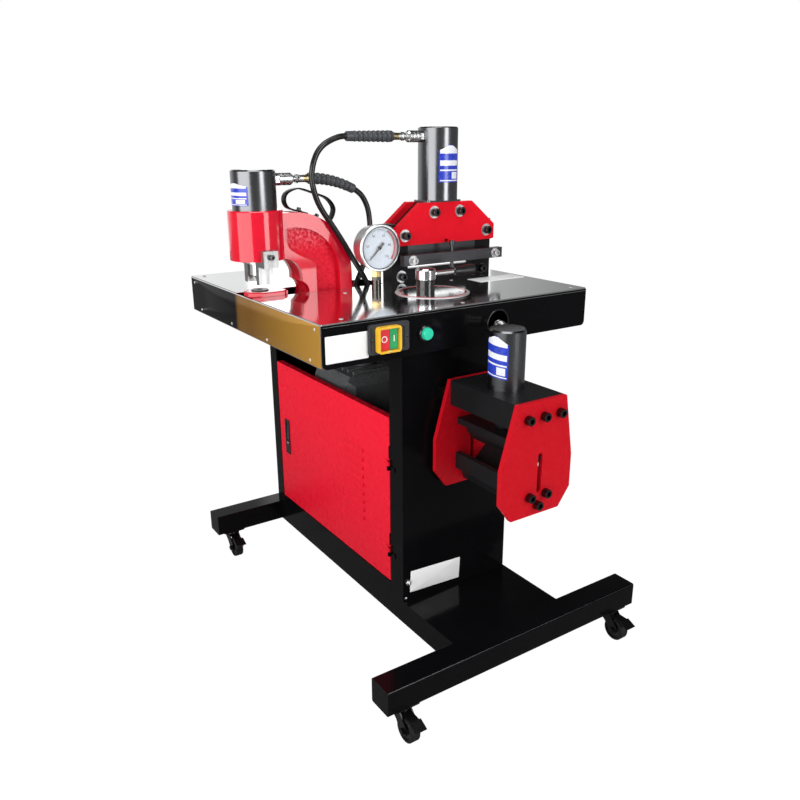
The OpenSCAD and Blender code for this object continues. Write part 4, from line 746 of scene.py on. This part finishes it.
# a washer or any flat ring: out along the bottom, over rounded shoulders, back down the bore
def ringProfile(inner, outer, thick, edge=0.3):
    return [(inner, 0), (outer, 0), (outer, thick - edge), (outer - edge, thick), (inner + edge, thick),
            (inner, thick - edge), (inner, 0)]


sidePanel = {"x": 325.0, "y": (-237.0, 420.0), "z": (675.5, 752.2), "thick": 1.3, "trim": 1.4,
             "lowRivets": (362, 176, -8, -195), "lowZ": 683.0, "highRivets": (398, -217), "highZ": 743.0,
             "rivet": 3.4}


# the table's sheet turned down over each side, edged with a bright line and held by rivets
def addSidePanel(side, name):
    s = sidePanel
    y, z = s["y"], s["z"]
    centre = np.array([side * s["x"], sum(y) / 2, sum(z) / 2])
    across, upwards = (0.0, -side, 0.0), (0.0, 0.0, -1.0)
    width, height = y[1] - y[0], z[1] - z[0]
    rim = plate(width + 2 * s["trim"], height + 2 * s["trim"], s["thick"] * 0.7, 1.2, centre, across, upwards)
    addPiece(name + "Edge", rim, "stainless")
    addPiece(name, plate(width, height, s["thick"], 1.0, centre, across, upwards), bronze, slot="stainless")
    spots = [(0, v, s["lowZ"]) for v in s["lowRivets"]] + [(0, v, s["highZ"]) for v in s["highRivets"]]
    head = turned(dome(s["rivet"], 1.6), (side * (s["x"] + s["thick"]), 0, 0), (side, 0, 0), 16)
    addPiece(name + "Rivets", repeated(head, spots), "mirror_steel")


addSidePanel(-1, "leftPanel")
addSidePanel(1, "rightPanel")

tableScrews = {"top": 755.5, "radius": 4.2, "slotWidth": 1.2,
               "spots": ((-137, 5), (-272, -217), (146, 8), (302, -218), (302, 396), (-302, 396), (0, 398),
                         (0, -222))}


def addTableScrews():
    s = tableScrews
    head = turned(dome(s["radius"], 1.5), (0, 0, s["top"]), (0, 0, 1), 20)
    addPiece("tableScrews", repeated(head, [(x, y, 0) for x, y in s["spots"]]), "mirror_steel")
    spots = np.array([(x, y, s["top"]) for x, y in s["spots"]], float)
    reach = np.array([s["radius"] * 0.62, s["radius"] * 0.3, 0])
    square = np.array([-reach[1], reach[0], 0])
    starts = np.concatenate([spots - reach, spots - square])
    ends = np.concatenate([spots + reach, spots + square])
    slots = bars(starts, ends, s["slotWidth"], 1.15, 1.56, (0, 0, 1))
    addPiece("tableScrewSlots", slots, "bolt_black")


addTableScrews()

# painted highlights: fine bright lines along the folded edge under the top and along the front beam's top
# edge
edges = {
    "edgeHighlightBead": {"radius": 0.7, "finish": "stainless",
                 "line": ((-323, -241, 749.4), (323.5, -241, 749.4), (325, -239.5, 749.4),
                          (325, 422.5, 749.4), (323.5, 424, 749.4), (-323, 424, 749.4))},
    "beamHighlightLine": {"radius": 0.6, "finish": "die_steel",
                 "line": ((-324, -440.8, 120.8), (0, -440.8, 120.8), (324, -440.8, 120.8))},
}
for edgeName, edge in edges.items():
    addPiece(edgeName, tube(np.array(edge["line"], float), edge["radius"], 10), edge["finish"])

# blank white plates: each is turned by its tilt, in degrees, in its own plane
blankThick = 0.6
blanks = {
    "frontPlate": {"size": (88.5, 50.0), "at": (-275.0, -241.0, 708.0), "up": (0, 0, 1), "tilt": 0},
    "columnPlate": {"size": (132.0, 50.0), "at": (-55.0, -214.0, 161.0), "up": (0, 0, 1), "tilt": 3},
    "tablePlate": {"size": (132.0, 50.0), "at": (248.5, -30.5, 755.5), "up": (0, 1, 0), "tilt": 0},
}


def addBlankPlate(name, s):
    a, b, t = np.array([1.0, 0.0, 0.0]), np.array(s["up"], float), math.radians(s["tilt"])
    across, upwards = math.cos(t) * a - math.sin(t) * b, math.sin(t) * a + math.cos(t) * b
    addPiece(name, plate(*s["size"], blankThick, 1.5, s["at"], across, upwards, 0.15), plateWhite)


for blankName, blank in blanks.items():
    addBlankPlate(blankName, blank)

# wrap-round labels: a patch of the cylinder's skin between two angles, its top raised to a peak
labels = {
    "punchLabel": {"axis": (-292.0, 92.0), "radius": 45.0, "turn": (-125, -38), "z": (939, 975), "peak": 8,
                   "lean": 0},
    "cutterLabel": {"axis": (141.0, 58.0), "radius": 45.0, "turn": (-33, 40), "z": (973, 1040), "peak": 13,
                    "lean": 0},
    "benderLabel": {"axis": (23.0, -331.0), "radius": 36.0, "turn": (-118, -36), "z": (632, 700), "peak": 14,
                    "lean": -7},
}


# outer skin: angle runs across, height runs up; the top row rises to the peak, and the whole patch may lean
def addLabel(name, s):
    u, v = np.meshgrid(np.linspace(0, 1, 25), np.linspace(0, 1, 13))
    angle = np.radians(s["turn"][0] + u * (s["turn"][1] - s["turn"][0]))
    top = s["z"][1] + s["peak"] * (1 - np.abs(2 * u - 1))
    z = s["z"][0] + v * (top - s["z"][0]) + s["lean"] * (u - 0.5)
    layers = []
    for lift in (0.35, 0.05):
        r = s["radius"] + lift
        x, y = s["axis"][0] + r * np.sin(angle), s["axis"][1] - r * np.cos(angle)
        layers.append(np.stack([x, y, z], axis=-1))
    rows, cols = u.shape
    points = np.concatenate([layer.reshape(-1, 3) for layer in layers])
    skin = gridFaces(rows, cols)
    rim = np.concatenate([np.arange(cols), np.arange(1, rows) * cols + cols - 1,
                          (rows - 1) * cols + np.arange(cols - 2, -1, -1), np.arange(rows - 2, 0, -1) * cols])
    around = np.roll(rim, -1)
    edge = np.column_stack([rim, rim + rows * cols, around + rows * cols, around])
    faces = np.concatenate([skin, skin[:, ::-1] + rows * cols, edge])
    rise = v * (top - s["z"][0]) / (s["z"][1] + s["peak"] - s["z"][0])
    uv = np.tile(np.column_stack([u.ravel(), rise.ravel()]), (2, 1))
    addPiece(name, (points, faces), labelPrint, uv=uv)


for labelName, label in labels.items():
    addLabel(labelName, label)
print("plates and labels made")

gauge = {"centre": (-57.0, 845.0), "floorY": -3.2, "frontY": -12.0, "dialRadius": 43.6, "hole": 3.0,
         "first": -135.0, "sweep": 270.0, "marks": 51, "numbers": ("0", "20", "40", "60", "80", "100"),
         "redFrom": 0.62, "redTo": 0.98, "markRadius": 38.0, "textRadius": 27.5, "textSize": 7.4}
front = (0, -1, 0)


# a place on the dial: the angle runs clockwise from the top as seen from the front
def onDial(fraction, radius):
    angle = np.radians(gauge["first"] + np.asarray(fraction, float) * gauge["sweep"])
    x = gauge["centre"][0] + radius * np.sin(angle)
    z = gauge["centre"][1] + radius * np.cos(angle)
    return np.stack([x, np.full_like(x, gauge["floorY"] - 0.5), z], axis=-1)


# characters as thin raised shapes facing the front, made a mesh before they are placed
def addText(name, words, places, size, depth, finish, body="frame"):
    shapes = []
    for word, spot in zip(words, places):
        curve = bpy.data.curves.new(name + "Curve", "FONT")
        curve.body = word
        curve.size = size
        curve.extrude = depth / 2
        curve.align_x, curve.align_y = "CENTER", "CENTER"
        stamp = addObject(name + "Stamp", curve)
        mesh = bpy.data.meshes.new_from_object(stamp.evaluated_get(bpy.context.evaluated_depsgraph_get()))
        bpy.data.objects.remove(stamp)
        bpy.data.curves.remove(curve)
        flat = np.zeros(len(mesh.vertices) * 3)
        mesh.vertices.foreach_get("co", flat)
        flat = flat.reshape(-1, 3)
        standing = np.column_stack([flat[:, 0], -flat[:, 2], flat[:, 1]])
        shapes.append((standing + np.asarray(spot, float), [list(p.vertices) for p in mesh.polygons]))
        bpy.data.meshes.remove(mesh)
    addPiece(name, joined(shapes), finish, body)


# a band that follows the dial's edge between two fractions of its sweep
def dialBand(first, last, steps, radius, width, top):
    line = onDial(np.linspace(first, last, steps), radius)
    return bars(line[:-1], line[1:], width, -0.15, top, front)


def addDial():
    g = gauge
    x, z = g["centre"]
    disc = ringProfile(g["hole"], g["dialRadius"], 0.8)
    addPiece("dialFace", turned(disc, (x, g["floorY"] + 0.3, z), front, 64), dialWhite)
    fraction = np.linspace(0, 1, g["marks"])
    count = np.arange(g["marks"])
    inner = g["markRadius"] - np.where(count % 10 == 0, 6.0, np.where(count % 5 == 0, 4.2, 2.6))
    starts, ends = onDial(fraction, inner), onDial(fraction, g["markRadius"])
    addPiece("dialMarks", bars(starts, ends, 0.55, -0.15, 0.12, front), "pointer_black")
    addPiece("dialRing", dialBand(0, 1, 91, g["markRadius"] + 0.2, 0.5, 0.1), "pointer_black")
    addPiece("dialRedZone", dialBand(g["redFrom"], g["redTo"], 41, g["markRadius"] + 2.4, 3.6, 0.14), dialRed)
    spots = onDial(np.linspace(0, 1, len(g["numbers"])), g["textRadius"])
    addText("dialNumbers", g["numbers"], spots, g["textSize"], 0.25, "pointer_black")
    pane = [(0.01, -0.5), (43.4, -0.5), (43.4, 0.2), (43.0, 0.5), (0.01, 0.5)]
    addPiece("dialGlass", turned(pane, (x, g["frontY"] + 1.9, z), front, 64), clearGlass)
    seal = ringProfile(43.2, 45.6, 1.4, 0.5)
    addPiece("dialSeal", turned(seal, (x, g["frontY"] + 1.3, z), front, 64), "hose_rubber")


addDial()

# the switch's raised letters, and the two screws and three ribs on the face of its box
switch = {"faceY": -256.0, "stopX": -205.5, "startX": -184.5, "z": 715.5, "symbolSize": 17.0,
          "boxFace": -250.0, "screwX": (-151.0, -227.0), "ribX": (-167.5, -164.0, -160.5), "ribTall": 36.0}


def addSwitchDetails():
    s = switch
    for button, word in (("stop", "O"), ("start", "I")):
        spot = (s[button + "X"], s["faceY"], s["z"])
        addText(button + "Symbol", [word], [spot], s["symbolSize"], 0.5, plateWhite, button)
    head = turned(dome(2.6, 1.2), (0, s["boxFace"], s["z"]), front, 16)
    addPiece("switchScrews", repeated(head, [(x, 0, 0) for x in s["screwX"]]), "bolt_black")
    foot = np.array([(x, s["boxFace"], s["z"] - s["ribTall"] / 2) for x in s["ribX"]])
    addPiece("switchRibs", bars(foot, foot + (0, 0, s["ribTall"]), 0.9, -0.1, 0.6, front), "catch_grey")


addSwitchDetails()
print("gauge and switch made")

# small turned fittings: the profile goes round the axis at a place, and again at each move from there;
# the axis points to the front and there are 16 sides, unless it says otherwise
pips = np.radians(np.array([-40.0, 40.0, 90.0, 140.0]))
loop = np.linspace(0, 2 * np.pi, 17)
fittings = {
    "guardKnobs": {"profile": [(0.01, -5), (2.6, -5), (3, -4.4), (3, 4.4), (2.6, 5), (0.01, 5)],
                   "at": (-196, -259.4, 715.5), "axis": (1, 0, 0),
                   "moves": [(0, 0, 22.5), (0, 0, -22.5)], "finish": "guard_orange"},
    "guardStud": {"profile": dome(2.0, 1.0), "at": (-196, -262.3, 693), "finish": "valve_chrome"},
    "catchStud": {"profile": dome(3.2, 1.6), "at": (-141.5, 322, 315), "axis": (-1, 0, 0),
                  "finish": "valve_chrome", "body": "door"},
    "coverRing": {"profile": ringProfile(68.0, 69.3, 0.3, 0.1), "at": (20, -92, 756.7), "axis": (0, 0, 1),
                  "sides": 96, "finish": dialRed},
    "coverScrews": {"profile": dome(2.3, 0.9), "at": (20, -92, 756.7), "axis": (0, 0, 1), "sides": 14,
                    "moves": np.column_stack([58 * np.cos(pips), -58 * np.sin(pips), 0 * pips]),
                    "finish": "mirror_steel"},
    "leverNut": {"profile": [(5.2, 0), (6.9, 0), (7.4, 0.8), (7.4, 3.6), (6.8, 4.4), (5.2, 4.4), (5.2, 0)],
                 "at": (28.5, -84, 792.5), "axis": (1, 0, 0), "sides": 24, "finish": "valve_chrome",
                 "body": "valve"},
    # soft ring round the hose hole in the front skirt
    "holeGrommet": {"profile": np.column_stack([26.8 + 1.6 * np.cos(loop), 0.6 + 1.44 * np.sin(loop)]),
                    "at": (76, -241, 709), "sides": 48, "finish": "hose_rubber"},
    # gland for the mains lead on the back wall: a hexagon and a ribbed cap
    "glandNut": {"profile": [(0.01, -1), (13, -1), (14, 0), (14, 7), (13, 8), (0.01, 8)],
                 "at": (78, 405, 190), "axis": (0, 1, 0), "sides": 6, "finish": "catch_black", "sharp": 25},
    "glandCap": {"profile": [(0.01, 7.5), (11, 7.5), (11, 16), (9.5, 19), (7, 21), (5, 21), (5, 18),
                             (0.01, 18)],
                 "at": (78, 405, 190), "axis": (0, 1, 0), "sides": 32, "finish": "catch_black"},
    # earth stud and a screw low on the column
    "earthStud": {"profile": [(0.01, -1), (6.5, -1), (6.5, 4), (5.8, 4.8), (3, 4.8), (3, 9), (2.4, 9.8),
                              (0.01, 9.8)],
                  "at": (-127, -214, 166), "sides": 6, "finish": "valve_chrome", "sharp": 25},
    "columnScrew": {"profile": dome(3.2, 1.8), "at": (-132, -214, 128), "finish": "valve_chrome"},
}


def addFitting(name, s):
    shape = turned(s["profile"], s["at"], s.get("axis", front), s.get("sides", 16))
    if "moves" in s:
        shape = repeated(shape, s["moves"])
    addPiece(name, shape, s["finish"], s.get("body", "frame"), s.get("sharp", 35.0))


for fittingName, fitting in fittings.items():
    addFitting(fittingName, fitting)

# cap screws that hold the strap: a socket head on a washer, standing square to the arc
strapScrews = {"centre": (-221.0, 789.0), "radius": 137.8, "x": (-194.0, -153.0), "y": 92.0,
               "profile": [(0.01, -1.2), (7, -1.2), (7, 0), (4.6, 0), (4.6, 4.4), (4.0, 5.0), (2.4, 5.0),
                           (2.4, 2.4), (0.01, 2.4)]}


def addStrapScrews():
    s = strapScrews
    shapes = []
    for x in s["x"]:
        out = x - s["centre"][0]
        up = math.sqrt(s["radius"] ** 2 - out**2)
        shapes.append(turned(s["profile"], (x, s["y"], s["centre"][1] + up), (out, 0, up), 20))
    addPiece("strapScrews", joined(shapes), "bolt_black")


addStrapScrews()
print("small fittings made")

# floor, studio light and the pale surroundings
studio = {"floorSize": 14.0, "floorColour": (0.9, 0.9, 0.9), "floorGlow": (0.19, 1.05), "floorMix": 0.94,
          "fill": 0.33, "band": (0.42, 0.54), "skyline": 0.95, "dark": 0.06, "brightest": 92.0,
          "spread": (0.62, 0.93), "flank": 0.22}


def addFloor():
    half = studio["floorSize"] * 500
    points = [(-half, -half, -0.5), (half, -half, -0.5), (half, half, -0.5), (-half, half, -0.5)]
    mesh = bpy.data.meshes.new("floor")
    mesh.from_pydata(place(points).tolist(), [], [(0, 1, 2, 3)])
    material = bpy.data.materials.new("paleFloor")
    material.use_nodes = True
    graph = Graph(material.node_tree)
    shader = material.node_tree.nodes["Principled BSDF"]
    shader.inputs["Base Color"].default_value = studio["floorColour"] + (1.0,)
    shader.inputs["Roughness"].default_value = 0.9
    shader.inputs["Specular IOR Level"].default_value = 0.0
    path = graph.add("ShaderNodeLightPath").outputs
    direct = path["Is Camera Ray"]
    mirrored = graph.math("MAXIMUM", path["Is Glossy Ray"], path["Is Transmission Ray"])
    glow = graph.add("ShaderNodeEmission", {"Strength": graph.spread(direct, *studio["floorGlow"])})
    share = graph.times(graph.math("MAXIMUM", direct, mirrored), studio["floorMix"])
    mix = graph.add("ShaderNodeMixShader", {0: share, 1: shader.outputs[0], 2: glow.outputs[0]})
    graph.feed(mix.outputs[0], material.node_tree.nodes["Material Output"].inputs["Surface"])
    mesh.materials.append(material)
    addObject("floor", mesh)


# soft lamps: direction round the machine in degrees, distance and size in metres, brightness of the face
lamps = {
    "rightSoftbox": {"around": -72.5, "away": 3.4, "height": 1.6, "size": (1.2, 2.5), "glow": 5.6},
    "leftSoftbox": {"around": 195.0, "away": 2.3, "height": 1.2, "size": (2.5, 1.7), "glow": 3.2},
    "overhead": {"around": 236.0, "away": 0.6, "height": 3.2, "size": (1.6, 1.6), "glow": 3.4},
    "backFill": {"around": 60.0, "away": 2.8, "height": 1.6, "size": (1.4, 1.4), "glow": 1.0},
}


def addLamps():
    middle = Vector((0.0, 0.0, 0.55))
    for name, s in lamps.items():
        light = bpy.data.lights.new(name, "AREA")
        light.shape = "RECTANGLE"
        light.size, light.size_y = s["size"]
        light.energy = s["glow"] * math.pi * s["size"][0] * s["size"][1]
        lamp = addObject(name, light)
        angle = math.radians(s["around"])
        lamp.location = (s["away"] * math.cos(angle), s["away"] * math.sin(angle), s["height"])
        aim = middle if s["height"] > 2 else Vector((0.0, 0.0, s["height"]))
        lamp.rotation_euler = (aim - lamp.location).to_track_quat("-Z", "Y").to_euler()


# the surroundings: white to the camera, an even grey for soft light, and for gloss a white skyline under
# a dark ceiling
def addSurroundings():
    world = bpy.data.worlds.new("studio")
    bpy.context.scene.world = world
    world.use_nodes = True
    graph = Graph(world.node_tree)
    background = world.node_tree.nodes["Background"]
    x, y, direction = graph.split(graph.add("ShaderNodeTexCoord").outputs["Generated"])
    path = graph.add("ShaderNodeLightPath").outputs
    mirrored = graph.math("MAXIMUM", path["Is Glossy Ray"], path["Is Transmission Ray"])
    skyline = graph.ramp(direction, *studio["band"], studio["skyline"], studio["dark"])
    turn = math.radians(studio["brightest"])
    facing = graph.plus(graph.times(x, math.cos(turn)), graph.times(y, math.sin(turn)))
    skyline = graph.times(skyline, graph.ramp(facing, *studio["spread"], studio["flank"]))
    soft = graph.times(graph.minus(1.0, mirrored), studio["fill"])
    around = graph.plus(graph.times(mirrored, skyline), soft)
    away = graph.minus(1.0, path["Is Camera Ray"])
    strength = graph.plus(path["Is Camera Ray"], graph.times(away, around))
    background.inputs["Color"].default_value = (1.0, 1.0, 1.0, 1.0)
    graph.feed(strength, background.inputs["Strength"])


addFloor()
addLamps()
addSurroundings()
bpy.context.scene.view_settings.view_transform = "Standard"
print("floor and lights set")
